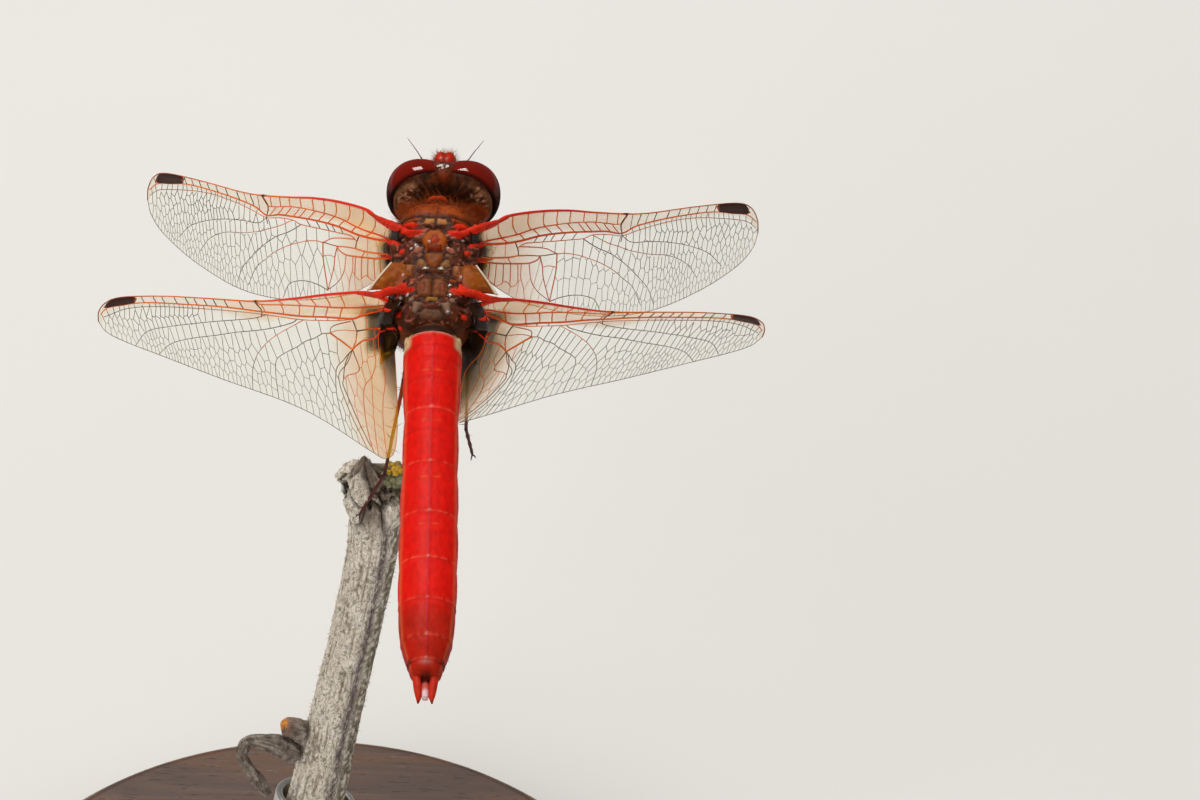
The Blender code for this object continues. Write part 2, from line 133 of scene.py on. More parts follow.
def make_mesh(name, points, faces, edges=()):
    """A mesh object at the origin from world points; its closed shells are turned to face out."""
    mesh = bpy.data.meshes.new(name)
    mesh.from_pydata([tuple(point) for point in points], [tuple(edge) for edge in edges], faces)
    if len(faces):
        shell = bmesh.new()
        shell.from_mesh(mesh)
        bmesh.ops.recalc_face_normals(shell, faces=shell.faces)
        shell.to_mesh(mesh)
        shell.free()
        mesh.polygons.foreach_set("use_smooth", [True] * len(mesh.polygons))
    piece = bpy.data.objects.new(name, mesh)
    bpy.context.scene.collection.objects.link(piece)
    return piece


def add_attribute(piece, name, values, kind="FLOAT", field="value"):
    """Store one value for each vertex of a piece."""
    layer = piece.data.attributes.new(name, kind, "POINT")
    layer.data.foreach_set(field, np.asarray(values, np.float32).ravel())


def wrap_rings(rings):
    """Points and faces of a closed tube through equally long rings, with a pole point at each end."""
    rings = np.asarray(rings, float)
    rows, count = rings.shape[:2]
    points = list(rings.reshape(-1, 3))
    faces = []
    for row in range(rows - 1):
        for i in range(count):
            j = (i + 1) % count
            faces.append((row * count + i, row * count + j, (row + 1) * count + j, (row + 1) * count + i))
    for row, flip in ((0, True), (rows - 1, False)):
        pole = len(points)
        points.append(rings[row].mean(0))
        for i in range(count):
            pair = (row * count + i, row * count + (i + 1) % count)
            faces.append((pole, *(pair[::-1] if flip else pair)))
    return np.array(points), faces


def circle_rings(path, radii, sides):
    """Circles square to a path, turned as little as possible from one to the next."""
    rings = []
    side = None
    for i, point in enumerate(path):
        along = Vector(path[min(i + 1, len(path) - 1)] - path[max(i - 1, 0)]).normalized()
        side = along.orthogonal() if side is None else side - along * side.dot(along)
        side.normalize()
        up = along.cross(side)
        turns = [2 * math.pi * k / sides for k in range(sides)]
        rings.append([np.array(point) + radii[i] * np.array(side * math.cos(a) + up * math.sin(a)) for a in turns])
    return np.array(rings)


def add_paint(piece, colour, darkest=0.001):
    """A colour for each point, which a finish reads as paint."""
    add_attribute(piece, "paint", np.hstack([np.clip(colour, darkest, 1), np.ones((len(colour), 1))]),
                  "FLOAT_COLOR", "color")


def settle(piece, nodes):
    """Hang a finished piece on the model in place of the named solids."""
    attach(piece, "root")
    if nodes:
        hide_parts(*nodes)
    print(piece.name, len(piece.data.polygons), "faces")


print("a closed tube of two square rings has", len(wrap_rings(np.zeros((2, 4, 3)))[1]), "faces")

# %% [markdown]
# A finish on a real insect is a sum of simple things: a ground colour, a darker edge, a few freckles, a grain.
# Blender writes such sums as nodes. To keep them readable, one small class wraps a node's socket and gives it
# plus, minus, times and so on, and another class holds the material and makes every other node.

# %% Sockets that do arithmetic


class Value:
    """A number that varies over a surface; arithmetic on it adds Math nodes."""

    def __init__(self, finish, socket):
        self.finish = finish
        self.socket = socket

    def math(self, operation, *others):
        """The result of one Math node on this value."""
        return self.finish.node("ShaderNodeMath", {"operation": operation}, (self, *others))

    def __add__(self, other):
        return self.math("ADD", other)

    __radd__ = __add__

    def __mul__(self, other):
        return self.math("MULTIPLY", other)

    __rmul__ = __mul__

    def __sub__(self, other):
        return self.math("SUBTRACT", other)

    def __rsub__(self, other):
        return (self * -1.0) + other

    def __abs__(self):
        return self.math("ABSOLUTE")

    def step(self, low, high):
        """0 at low, 1 at high, with a soft slope between them; low may be the larger one."""
        flip = low > high
        settings = {"interpolation_type": "SMOOTHSTEP"}
        mask = self.finish.node("ShaderNodeMapRange", settings, (self, min(low, high), max(low, high)))
        return 1 - mask if flip else mask


print("a Value offers", [name for name in vars(Value) if not name.startswith("_")])

# %% The material class
GRAIN_ROUGHNESS = 0.55


class Finish:
    """One material, with a Principled shader and a method for every other node."""

    def __init__(self, name, roughness=0.5, **constants):
        self.material = bpy.data.materials.new(name)
        self.material.use_nodes = True
        self.tree = self.material.node_tree
        self.shader = self.tree.nodes["Principled BSDF"]
        self.shader.inputs["Roughness"].default_value = roughness
        for socket, value in constants.items():
            self.shader.inputs[socket.replace("_", " ")].default_value = value

    def node(self, kind, settings=None, inputs=(), output=0):
        """Add a node, set it up, feed its sockets by order or by name, and give back one output."""
        made = self.tree.nodes.new(kind)
        for key, value in (settings or {}).items():
            setattr(made, key, value)
        pairs = inputs.items() if isinstance(inputs, dict) else enumerate(inputs)
        for key, value in pairs:
            self.feed(made.inputs[key], value)
        return Value(self, made.outputs[output])

    def feed(self, socket, value):
        """Link a value to a socket, or set the socket to a number or colour."""
        if isinstance(value, Value):
            self.tree.links.new(value.socket, socket)
        elif isinstance(value, tuple) and len(value) == 3 and socket.type == "RGBA":
            socket.default_value = (*value, 1.0)
        else:
            socket.default_value = value

    def place(self):
        """The point on the piece, in millimetres."""
        coordinates = self.node("ShaderNodeTexCoord", output="Object")
        return self.node("ShaderNodeVectorMath", {"operation": "SCALE"}, {0: coordinates, "Scale": 1 / MM})

    def attribute(self, name, output="Fac"):
        """A value or colour that the mesh carries."""
        return self.node("ShaderNodeAttribute", {"attribute_name": name}, output=output)

    def stretched(self, place, scale, turn=(0.0, 0.0, 0.0)):
        """A place turned by degrees and stretched along its axes."""
        angles = tuple(math.radians(angle) for angle in turn)
        return self.node("ShaderNodeMapping", inputs={"Vector": place, "Scale": scale, "Rotation": angles})

    def grain(self, place, scale, detail=3.0, distortion=0.0):
        """Cloudy noise from 0 to 1."""
        return self.node("ShaderNodeTexNoise", inputs={
            "Vector": place, "Scale": scale, "Detail": detail, "Roughness": GRAIN_ROUGHNESS,
            "Distortion": distortion})

    def cells(self, place, scale):
        """Distance to the nearest of many scattered points."""
        return self.node("ShaderNodeTexVoronoi", {"feature": "F1"}, {"Vector": place, "Scale": scale})

    def blend(self, mask, first, second):
        """One colour where the mask is 0 and another where it is 1."""
        settings = {"data_type": "RGBA", "blend_type": "MIX"}
        return self.node("ShaderNodeMix", settings, {0: mask, 6: first, 7: second}, output=2)

    def between(self, mask, low, high):
        """A number that goes from low to high with a mask."""
        return mask * (high - low) + low

    def bump(self, height, distance, strength=1.0, under=None):
        """Fine relief, given in millimetres for a height of 1."""
        inputs = {"Height": height, "Distance": distance * MM, "Strength": strength}
        if under is not None:
            inputs["Normal"] = under
        return self.node("ShaderNodeBump", inputs=inputs)

    def wear(self, **sockets):
        """Feed the shader's sockets and give back the finished material."""
        for socket, value in sockets.items():
            self.feed(self.shader.inputs[socket.replace("_", " ")], value)
        return self.material


print("a Finish offers", [name for name in vars(Finish) if not name.startswith("_")])

# %% [markdown]
# What repeats by the hundred is left to Geometry Nodes: vein tubes along edges, and bristles on points. A tree
# is built once here, with a named input for each size, and its result is turned into a plain mesh.

# %% A Geometry Nodes tree builder


class Growth:
    """A Geometry Nodes tree with named inputs, grown on a mesh that carries its attributes."""

    def __init__(self, name, **inputs):
        self.tree = bpy.data.node_groups.new(name, "GeometryNodeTree")
        self.tree.interface.new_socket("Geometry", in_out="INPUT", socket_type="NodeSocketGeometry")
        kinds = {float: "NodeSocketFloat", int: "NodeSocketInt"}
        self.keys = {}
        for key, value in inputs.items():
            socket = self.tree.interface.new_socket(key, in_out="INPUT", socket_type=kinds[type(value)])
            socket.default_value = value
            self.keys[key] = socket.identifier
        self.tree.interface.new_socket("Geometry", in_out="OUTPUT", socket_type="NodeSocketGeometry")
        self.start = self.tree.nodes.new("NodeGroupInput")

    def node(self, kind, settings=None, inputs=None, output=0):
        """Add a node, set it up, feed its sockets and give back one output."""
        made = self.tree.nodes.new(kind)
        for key, value in (settings or {}).items():
            setattr(made, key, value)
        for key, value in (inputs or {}).items():
            if isinstance(value, bpy.types.NodeSocket):
                self.tree.links.new(value, made.inputs[key])
            else:
                made.inputs[key].default_value = value
        return made.outputs[output]

    def named(self, name, kind="FLOAT"):
        """An attribute of the mesh that the tree grows on."""
        return self.node("GeometryNodeInputNamedAttribute", {"data_type": kind}, {"Name": name})

    def times(self, first, second):
        """The product of two numbers."""
        return self.node("ShaderNodeMath", {"operation": "MULTIPLY"}, {0: first, 1: second})

    def end(self, shape, material):
        """Realize, give the finish and close the tree."""
        real = self.node("GeometryNodeRealizeInstances", inputs={"Geometry": shape})
        dressed = self.node("GeometryNodeSetMaterial", inputs={"Geometry": real, "Material": material})
        self.tree.links.new(dressed, self.tree.nodes.new("NodeGroupOutput").inputs[0])

    def grow(self, seedbed, name, **values):
        """Run the tree on a mesh and give back its result as a plain piece."""
        modifier = seedbed.modifiers.new("growth", "NODES")
        modifier.node_group = self.tree
        for key, value in values.items():
            modifier[self.keys[key]] = value
        ready = seedbed.evaluated_get(bpy.context.evaluated_depsgraph_get())
        mesh = bpy.data.meshes.new_from_object(ready)
        mesh.name = name
        bpy.data.objects.remove(seedbed)
        piece = bpy.data.objects.new(name, mesh)
        bpy.context.scene.collection.objects.link(piece)
        return piece


print("a Growth offers", [name for name in vars(Growth) if not name.startswith("_")])

# %% [markdown]
# A dragonfly's wing is a clear sheet a few thousandths of a millimetre thick, hung on a net of hollow veins.
# The few long veins have names and fixed places, so they are drawn as smooth curves in shares of the
# wing's length: how far out, and how far behind the hinge line. The hundreds of small cells between them
# follow a rule instead: each field fills with cells of about one size. That is done here as it happens in the
# wing, by letting points push each other apart and drawing the borders half-way between them.

# %% The shape of each wing
WING_THICKNESS = 0.03
FOREWING_LENGTH = 28.7
HINDWING_LENGTH = 28.0
ROOT_TWIST_REACH = 0.38
EDGE_STEPS, VEIN_STEPS = 12, 10
# Hinge, forward sweep, droop, twist of the outer blade, twist at the root, camber and breadth there
WINGS = {
    "wing_fore_left": ((-2.3, 2.8, 2.9), 48.5, 36.1, 68.0, 60.0, 0.3, 1.0),
    "wing_fore_right": ((2.3, 2.8, 2.9), 45.7, 36.2, 64.0, 58.0, 0.3, 1.0),
    "wing_hind_left": ((-2.3, -2.25, 2.35), 37.0, 36.5, 71.0, 62.0, 0.9, 1.0),
    "wing_hind_right": ((2.6, -2.25, 2.35), 39.6, 37.7, 89.0, 84.0, 1.4, 0.9),
}
FORE_FRONT = ((0.0, 0.010), (0.05, 0.002), (0.10, -0.013), (0.20, -0.017), (0.30, -0.014), (0.40, -0.005),
              (0.515, 0.004), (0.60, 0.006), (0.75, 0.002), (0.90, 0.002), (0.96, 0.014), (0.992, 0.040),
              (1.0, 0.068))
FORE_BACK = ((0.0, 0.075), (0.03, 0.105), (0.10, 0.138), (0.20, 0.168), (0.42, 0.204), (0.62, 0.208),
             (0.80, 0.177), (0.93, 0.135), (0.985, 0.100), (1.0, 0.068))
HIND_FRONT = ((0.0, 0.003), (0.05, -0.010), (0.10, -0.012), (0.20, -0.005), (0.30, 0.005), (0.437, 0.015),
              (0.60, 0.0135), (0.75, 0.013), (0.90, 0.020), (0.965, 0.036), (0.995, 0.056), (1.004, 0.076))
HIND_BACK = ((0.0, 0.058), (0.014, 0.212), (0.036, 0.298), (0.075, 0.322), (0.13, 0.312), (0.24, 0.282), (0.42, 0.230),
             (0.62, 0.188), (0.80, 0.147), (0.93, 0.117), (0.985, 0.098), (1.004, 0.076))


class Wing:
    """One wing's surface: turns a place in shares of its length into a point in the body's frame."""

    def __init__(self, name):
        hinge, sweep, droop, self.twist, self.root_twist, self.camber, self.breadth = WINGS[name]
        self.name = name
        self.kind = "fore" if "fore" in name else "hind"
        self.length = FOREWING_LENGTH if self.kind == "fore" else HINDWING_LENGTH
        self.hinge = np.array(hinge)
        self.side = -1 if hinge[0] < 0 else 1
        sweep, droop = math.radians(sweep), math.radians(droop)
        level = np.array((self.side * math.cos(sweep), math.sin(sweep), 0))
        down = np.array((0, 0, -1.0))
        self.span = level * math.cos(droop) + down * math.sin(droop)
        self.flat = np.array((self.side * math.sin(sweep), -math.cos(sweep), 0))
        self.hang = down * math.cos(droop) - level * math.sin(droop)
        front, back = OUTLINES[self.kind]
        self.front, self.back = curve_through(front, EDGE_STEPS), curve_through(back, EDGE_STEPS)

    def edges(self, out):
        """Where the front and back edges lie at some shares of the length."""
        front = np.interp(out, self.front[:, 0], self.front[:, 1])
        return front, np.interp(out, self.back[:, 0], self.back[:, 1])

    def point(self, out, behind, lift=0.0):
        """Body-frame points on the wing, raised by a lift in millimetres on its upper side."""
        out, behind = np.asarray(out, float), np.asarray(behind, float)
        front, back = self.edges(out)
        across = np.clip((behind - front) / np.maximum(back - front, 1e-4), 0, 1)
        ease = smooth(0, ROOT_TWIST_REACH, np.maximum(out, 0))
        angle = np.radians(self.root_twist + (self.twist - self.root_twist) * ease)[..., None]
        chord = self.flat * np.cos(angle) + self.hang * np.sin(angle)
        normal = np.cross(self.span, chord) * -self.side
        swell = self.camber * (1 - ease) * 4 * across * (1 - across) + lift + self.pleat(out, behind)
        depth = behind * (self.breadth + (1 - self.breadth) * ease)
        reach = self.hinge + self.span * (out * self.length)[..., None]
        return reach + chord * (depth * self.length)[..., None] + normal * swell[..., None]

    def pleat(self, out, behind):
        """The front of a wing is folded: the border is a ridge, the vein behind it a valley, the next a ridge."""
        into = behind - self.edges(out)[0]
        fold = PLEAT_DEPTH * np.cos(into * PLEAT_RATE)
        return fold * smooth(0.075, 0.03, into) * smooth(1.0, 0.93, out)


PLEAT_DEPTH = 0.10
PLEAT_RATE = 2 * math.pi / 0.046
OUTLINES = {"fore": (FORE_FRONT, FORE_BACK), "hind": (HIND_FRONT, HIND_BACK)}
for wing_name in WINGS:
    print(wing_name, "tip at", Wing(wing_name).point(1.0, 0.07).round(1), "mm from the body's middle")

# %% The long veins, drawn through listed points
# Each: its points, width at the root and at the end in millimetres, and its redness there (1 red, 0.5 orange, 0 dark)
LONG_VEINS = {
    "fore": {
        "subcosta": (((0, .034), (.06, .029), (.13, .0235), (.20, .016), (.29, .013), (.40, .015), (.497, .0245),
                      (.508, .008)), .11, .06, 1.0, .35),
        "radius": (((0, .038), (.12, .038), (.21, .031), (.30, .030), (.40, .0335), (.45, .036), (.50, .0425),
                    (.555, .032), (.62, .025), (.70, .0195), (.80, .0165), (.857, .019), (.90, .024), (.957, .030),
                    (.99, .046)), .15, .06, .85, .35),
        "nodus": (((.511, .004), (.506, .015), (.502, .029), (.500, .0425), (.502, .060)), .13, .05, .13, .05),
        "arculus": (((.118, .038), (.128, .052), (.131, .066)), .08, .07, .1, .1),
        "sector": (((.128, .051), (.157, .0435), (.21, .044), (.295, .0455), (.366, .046), (.395, .040),
                    (.45, .042), (.50, .047), (.56, .040), (.66, .030), (.75, .026), (.85, .031), (.95, .042),
                    (.99, .058)), .07, .04, .5, .1),
        "second_sector": (((.50, .047), (.54, .0625), (.60, .065), (.66, .069), (.74, .080), (.82, .100),
                           (.875, .130)), .05, .035, .1, 0),
        "inter_sector": (((.395, .040), (.455, .059), (.50, .070), (.54, .080), (.61, .091), (.68, .098),
                          (.745, .118), (.79, .150)), .055, .035, .3, 0),
        "third_sector": (((.366, .046), (.418, .0665), (.475, .084), (.529, .1085), (.575, .135), (.615, .162),
                          (.64, .195)), .06, .035, .05, 0),
        "media": (((.14, .0485), (.195, .053), (.237, .0585), (.277, .0705), (.305, .0715), (.352, .078),
                   (.42, .094), (.478, .1135), (.516, .1325), (.56, .156), (.595, .195)), .08, .035, .6, 0),
        "rear_media": (((0, .062), (.045, .065), (.095, .067), (.131, .066), (.178, .068), (.215, .071),
                        (.277, .0705)), .13, .06, .75, .1),
        "anal": (((0, .070), (.05, .076), (.10, .0795), (.143, .082), (.172, .083), (.20, .079), (.213, .0725)),
                 .12, .08, .70, .5),
        "triangle_near": (((.213, .0725), (.224, .092), (.231, .115), (.253, .150), (.264, .165)), .07, .06, .15, .5),
        "triangle_far": (((.277, .0705), (.278, .103), (.270, .139), (.264, .165)), .08, .07, .5, .5),
        "triangle_bar": (((.225, .094), (.250, .093), (.279, .098)), .05, .05, .5, .5),
        "cubitus": (((.264, .165), (.30, .160), (.345, .158), (.39, .162), (.43, .174), (.455, .203)),
                    .06, .035, .1, 0),
        "anal_zigzag": (((.010, .100), (.040, .110), (.066, .121), (.092, .114), (.118, .126), (.144, .114)),
                        .045, .045, .6, .4),
        "fan_one": (((.143, .082), (.144, .108), (.158, .130), (.17, .158)), .05, .035, .4, .3),
        "fan_two": (((.172, .083), (.185, .118), (.215, .142), (.262, .163)), .055, .045, .3, .1),
    },
    "hind": {
        "subcosta": (((0, .010), (.075, .0162), (.157, .020), (.255, .0212), (.355, .0212), (.425, .0215),
                      (.437, .016)), .12, .06, 1.0, .4),
        "radius": (((0, .018), (.043, .025), (.08, .032), (.112, .0385), (.205, .039), (.295, .042), (.36, .0415),
                    (.448, .0385), (.52, .034), (.60, .0315), (.70, .0305), (.80, .0300), (.86, .033),
                    (.90, .038), (.96, .046), (.99, .060)), .16, .06, .85, .3),
        "nodus": (((.441, .016), (.438, .027), (.436, .0390), (.438, .050)), .12, .05, .13, .05),
        "arculus": (((.113, .039), (.104, .052), (.095, .0625)), .08, .07, .05, .05),
        "sector": (((.113, .040), (.16, .0445), (.22, .047), (.29, .0490), (.36, .0475), (.44, .0440), (.56, .040),
                    (.68, .0385), (.80, .0390), (.90, .047), (.98, .066)), .06, .04, .4, .05),
        "second_sector": (((.42, .0445), (.46, .052), (.53, .058), (.60, .0635), (.67, .0705), (.76, .080),
                           (.84, .093), (.895, .126)), .05, .035, .1, 0),
        "inter_sector": (((.315, .0495), (.335, .0575), (.395, .0695), (.455, .078), (.53, .0845), (.60, .093),
                          (.70, .104), (.77, .118), (.82, .142)), .06, .035, .05, 0),
        "third_sector": (((.29, .049), (.325, .0605), (.363, .073), (.392, .083), (.43, .099), (.458, .1145),
                          (.485, .134), (.51, .165), (.525, .206)), .055, .035, .45, 0),
        "media": (((.117, .044), (.17, .053), (.193, .060), (.20, .071), (.23, .0745), (.265, .086), (.303, .095),
                   (.34, .109), (.378, .121), (.42, .139), (.435, .170), (.445, .223)), .07, .035, .2, 0),
        "rear_media": (((0, .053), (.05, .057), (.095, .0625)), .11, .08, .3, .05),
        "triangle_top": (((.095, .0625), (.14, .0625), (.17, .065), (.20, .071)), .05, .05, .3, .5),
        "triangle_near": (((.095, .0625), (.10, .082), (.1135, .0995)), .07, .07, .1, .6),
        "triangle_far": (((.20, .071), (.155, .0855), (.1135, .0995)), .11, .10, .55, .6),
        "anal": (((0, .057), (.015, .066), (.035, .0755), (.07, .0795), (.094, .089), (.1135, .0995)),
                 .12, .10, 1.0, .6),
        "cubitus": (((.117, .102), (.137, .112), (.155, .123), (.185, .1375), (.20, .156), (.212, .185),
                     (.218, .21), (.225, .285)), .065, .035, .05, 0),
        "loop_front": (((.1135, .0995), (.103, .116), (.095, .128), (.093, .139), (.11, .147), (.145, .153),
                        (.168, .163)), .07, .05, .1, .3),
        "loop_near": (((.035, .0755), (.031, .10), (.028, .122), (.047, .150), (.075, .168), (.090, .190),
                       (.099, .22), (.108, .25), (.115, .282), (.120, .312)), .065, .04, .3, .2),
        "loop_midrib": (((.128, .108), (.152, .134), (.168, .163), (.175, .175), (.162, .203), (.148, .238),
                         (.134, .27), (.124, .30)), .06, .04, .1, 0),
        "loop_far": (((.1135, .0995), (.14, .128), (.183, .152), (.190, .176), (.182, .205), (.170, .24),
                      (.155, .275), (.145, .308)), .055, .035, .1, 0),
        "anal_one": (((.015, .066), (.010, .11), (.014, .16), (.030, .21), (.050, .27), (.068, .318)),
                     .06, .04, .6, .4),
        "anal_two": (((.047, .150), (.055, .19), (.068, .235), (.085, .28), (.100, .317)), .05, .035, .5, .3),
    },
}
print("named veins:", {kind: len(veins) for kind, veins in LONG_VEINS.items()})

# %% Cross-veins between the long ones
# Each row: the vein or border in front, the one behind, where they stand, how far they lean, redness at both ends
LADDERS = {
    "fore": (("costa", "subcosta", (.062, .112, .165, .218, .265, .310, .358, .402, .440, .478), .012, .8, .5),
             ("subcosta", "radius", (.070, .132, .185, .230, .270, .312, .350, .375, .408, .440, .470), .020, .8, .5),
             ("radius", "sector", (.20, .235, .262, .300, .34), -.012, .1, .1),
             ("costa", "radius", (.560, .615, .660, .700, .735, .768, .800, .830), .002, .1, .1),
             ("rear_media", "anal", (.090,), .015, .8, .8),
             ("anal", "anal_zigzag", (.030, .052, .077, .103, .130), .006, .75, .7)),
    "hind": (("costa", "subcosta", (.085, .155, .205, .255, .305, .362), -.010, .8, .5),
             ("subcosta", "radius", (.080, .152, .205, .252, .305, .362, .425), .002, .8, .5),
             ("radius", "sector", (.16, .20, .245), 0, .2, .1),
             ("costa", "radius", (.493, .543, .580, .612, .645, .674, .713, .755, .784, .825), .003, .1, .1),
             ("rear_media", "anal", (.035,), -.008, .7, .7)),
}
CROSS_WIDTH = 0.048
CROSS_STEPS = 12
STIGMA_SPAN = {"fore": (0.838, 0.958), "hind": (0.850, 0.968)}
NODUS = {"fore": 0.505, "hind": 0.437}
NODUS_SPREAD = 0.010


def vein_curve(kind, name):
    """The smooth line of a long vein, in shares of the wing's length."""
    if name == "costa":
        return curve_through(OUTLINES[kind][0], EDGE_STEPS)
    return curve_through(LONG_VEINS[kind][name][0], VEIN_STEPS)


def vein_lines(kind):
    """All drawn veins of a wing as lists of places, widths and redness."""
    lines = []
    front, back = (curve_through(edge, EDGE_STEPS) for edge in OUTLINES[kind])
    share = front[:, 0]
    red = 1 - 0.75 * smooth(0.25, 0.6, share) - 0.1 * smooth(0.7, 0.9, share)
    knot = hump(share, NODUS[kind], NODUS_SPREAD)
    width = 0.17 - 0.10 * smooth(0.1, 0.7, share) + 0.10 * smooth(0.14, 0.0, share) + 0.05 * knot
    lines.append((front, width, red * (1 - knot)))
    share = back[:, 0]
    lines.append((back, 0.035 + 0 * share, 0.35 * smooth(0.12, 0.0, share)))
    for name, (_, near, far, red_near, red_far) in LONG_VEINS[kind].items():
        places = vein_curve(kind, name)
        t = np.linspace(0, 1, len(places))
        lines.append((places, near + (far - near) * t ** 0.7, red_near + (red_far - red_near) * t))
    for fore_vein, rear_vein, stands, lean, red_top, red_end in LADDERS[kind]:
        ahead, behind = vein_curve(kind, fore_vein), vein_curve(kind, rear_vein)
        for stand in stands:
            top = np.array((stand, np.interp(stand, ahead[:, 0], ahead[:, 1])))
            foot = np.array((stand + lean, np.interp(stand + lean, behind[:, 0], behind[:, 1])))
            t = np.linspace(0, 1, CROSS_STEPS)[:, None]
            tone = (red_top + (red_end - red_top) * t[:, 0]) * (1 - 0.7 * smooth(0.3, 0.7, stand))
            if fore_vein == "costa":
                tone = tone * (0.75 + 0.25 * t[:, 0])
            stout = 1.7 if fore_vein in ("costa", "subcosta") else 1.25
            width = CROSS_WIDTH * (stout - 0.9 * (stout - 0.8) * stand)
            lines.append((top + (foot - top) * t, np.full(CROSS_STEPS, width), tone))
    return lines


for kind in LONG_VEINS:
    print(kind, "wing:", len(vein_lines(kind)), "drawn veins")

# %% [markdown]
# The cells come next. The wing is laid out on a fine grid, the drawn veins divide it into fields, and each
# field gets as many points as it has room for. After some rounds of moving every point to the middle of the
# ground it holds, the borders between them are the small veins. Cells are larger and longer near the root.

# %% Grow the small cells of a wing
GRID = 0.0025
GRID_OUT, GRID_BEHIND = (-0.004, 1.012), (-0.03, 0.33)
CELL_STRETCH = 1.45
SETTLING_ROUNDS = 14
GROUND_PARTS = 12
FAR_BORDER = 0.25
FAR_CORNERS = ((-9.0, -9.3), (9.1, -9.0), (9.0, 9.2), (-9.2, 9.0))


def cell_size(out, behind, front, back):
    """The wished-for breadth of a cell, as a share of the wing's length."""
    rear = np.clip((behind - front) / np.maximum(back - front, 1e-3), 0, 1)
    return (0.0355 - 0.0165 * smooth(0.2, 0.8, out)) * (1 - 0.36 * smooth(0.45, 1.0, rear))


def label_fields(blocked):
    """Give every open grid cell the number of the field that it lies in."""
    labels = np.where(blocked, 0, np.arange(1, blocked.size + 1).reshape(blocked.shape))
    while True:
        before = labels.copy()
        for axis in (0, 1):
            for shift in (1, -1):
                moved = np.roll(labels, shift, axis)
                labels = np.where(blocked, 0, np.maximum(labels, moved))
        if (labels == before).all():
            return labels


def grow_cells(kind, seed):
    """Short straight veins that divide each field of a wing into cells."""
    draw = np.random.default_rng(seed)
    front_edge, back_edge = (curve_through(edge, EDGE_STEPS) for edge in OUTLINES[kind])
    outs, backs = np.arange(*GRID_OUT, GRID), np.arange(*GRID_BEHIND, GRID)
    out, behind = np.meshgrid(outs, backs, indexing="ij")
    front = np.interp(out, front_edge[:, 0], front_edge[:, 1])
    back = np.interp(out, back_edge[:, 0], back_edge[:, 1])
    blocked = (behind < front) | (behind > back) | (out > back_edge[-1, 0])
    blocked[0], blocked[-1], blocked[:, 0], blocked[:, -1] = True, True, True, True
    for places, _, _ in vein_lines(kind):
        for a, b in zip(places, places[1:]):
            steps = max(2, int(np.abs(b - a).max() / GRID * 3))
            walk = a + (b - a) * np.linspace(0, 1, steps)[:, None]
            i = np.clip(((walk[:, 0] - outs[0]) / GRID + 0.5).astype(int), 0, len(outs) - 1)
            j = np.clip(((walk[:, 1] - backs[0]) / GRID + 0.5).astype(int), 0, len(backs) - 1)
            blocked[i, j] = True
            blocked[i, np.clip(j + 1, 0, len(backs) - 1)] = True
    fields = label_fields(blocked)
    size = cell_size(out, behind, front, back)
    segments = []
    for field in np.unique(fields[fields > 0]):
        inside = fields == field
        ground = np.stack([out[inside] * CELL_STRETCH, behind[inside]], 1)
        wish = 1 / (size[inside] ** 2 * CELL_STRETCH)
        count = int(round((wish * GRID * GRID * CELL_STRETCH).sum()))
        if count < 2:
            continue
        points = ground[draw.choice(len(ground), count, p=wish / wish.sum(), replace=False)]
        for _ in range(SETTLING_ROUNDS):
            nearest = np.concatenate([((part[:, None] - points[None]) ** 2).sum(2).argmin(1)
                                      for part in np.array_split(ground, GROUND_PARTS)])
            weight = np.bincount(nearest, wish, count)
            for axis in (0, 1):
                total = np.bincount(nearest, wish * ground[:, axis], count)
                points[:, axis] = np.where(weight > 0, total / np.maximum(weight, 1e-12), points[:, axis])
        segments += field_borders(points, lambda p: inside_field(p, fields, field, outs, backs))
    return segments


def inside_field(places, fields, field, outs, backs):
    """Which of some places lie in a field of the grid."""
    i = np.clip(((places[:, 0] / CELL_STRETCH - outs[0]) / GRID + 0.5).astype(int), 0, len(outs) - 1)
    j = np.clip(((places[:, 1] - backs[0]) / GRID + 0.5).astype(int), 0, len(backs) - 1)
    return fields[i, j] == field


def field_borders(points, inside):
    """Borders half-way between neighbouring points, cut off where they leave the field."""
    places = [Vector(p) for p in (*points, *FAR_CORNERS)]
    corners, _, triangles = geometry.delaunay_2d_cdt(places, [], [], 0, 1e-9)[:3]
    centres, sides = [], {}
    for index, (a, b, c) in enumerate(triangles):
        centres.append(circle_centre(*(np.array(corners[k]) for k in (a, b, c))))
        for pair in ((a, b), (b, c), (c, a)):
            sides.setdefault(tuple(sorted(pair)), []).append(index)
    found = []
    for pair, owners in sides.items():
        if len(owners) != 2:
            continue
        start, end = centres[owners[0]], centres[owners[1]]
        reach = np.linalg.norm(end - start)
        if reach < 1e-6:
            continue
        middle_of_pair = (np.array(corners[pair[0]]) + np.array(corners[pair[1]])) / 2
        ahead = (end - start) / reach
        low = max((start - middle_of_pair) @ ahead, -FAR_BORDER)
        high = min((end - middle_of_pair) @ ahead, FAR_BORDER)
        if high <= low:
            continue
        start, end, reach = middle_of_pair + ahead * low, middle_of_pair + ahead * high, high - low
        steps = max(3, int(reach / GRID * 2))
        walk = start + (end - start) * np.linspace(0, 1, steps)[:, None]
        kept = np.flatnonzero(inside(walk))
        if len(kept) > 1:
            runs = np.split(kept, np.flatnonzero(np.diff(kept) > 1) + 1)
            for run in runs:
                if len(run) > 1:
                    stretch = np.array((1 / CELL_STRETCH, 1))
                    ahead = (end - start) / reach * GRID * 1.2
                    a = walk[run[0]] - (ahead if run[0] > 0 else 0)
                    b = walk[run[-1]] + (ahead if run[-1] < steps - 1 else 0)
                    found.append((a * stretch, b * stretch))
    return found


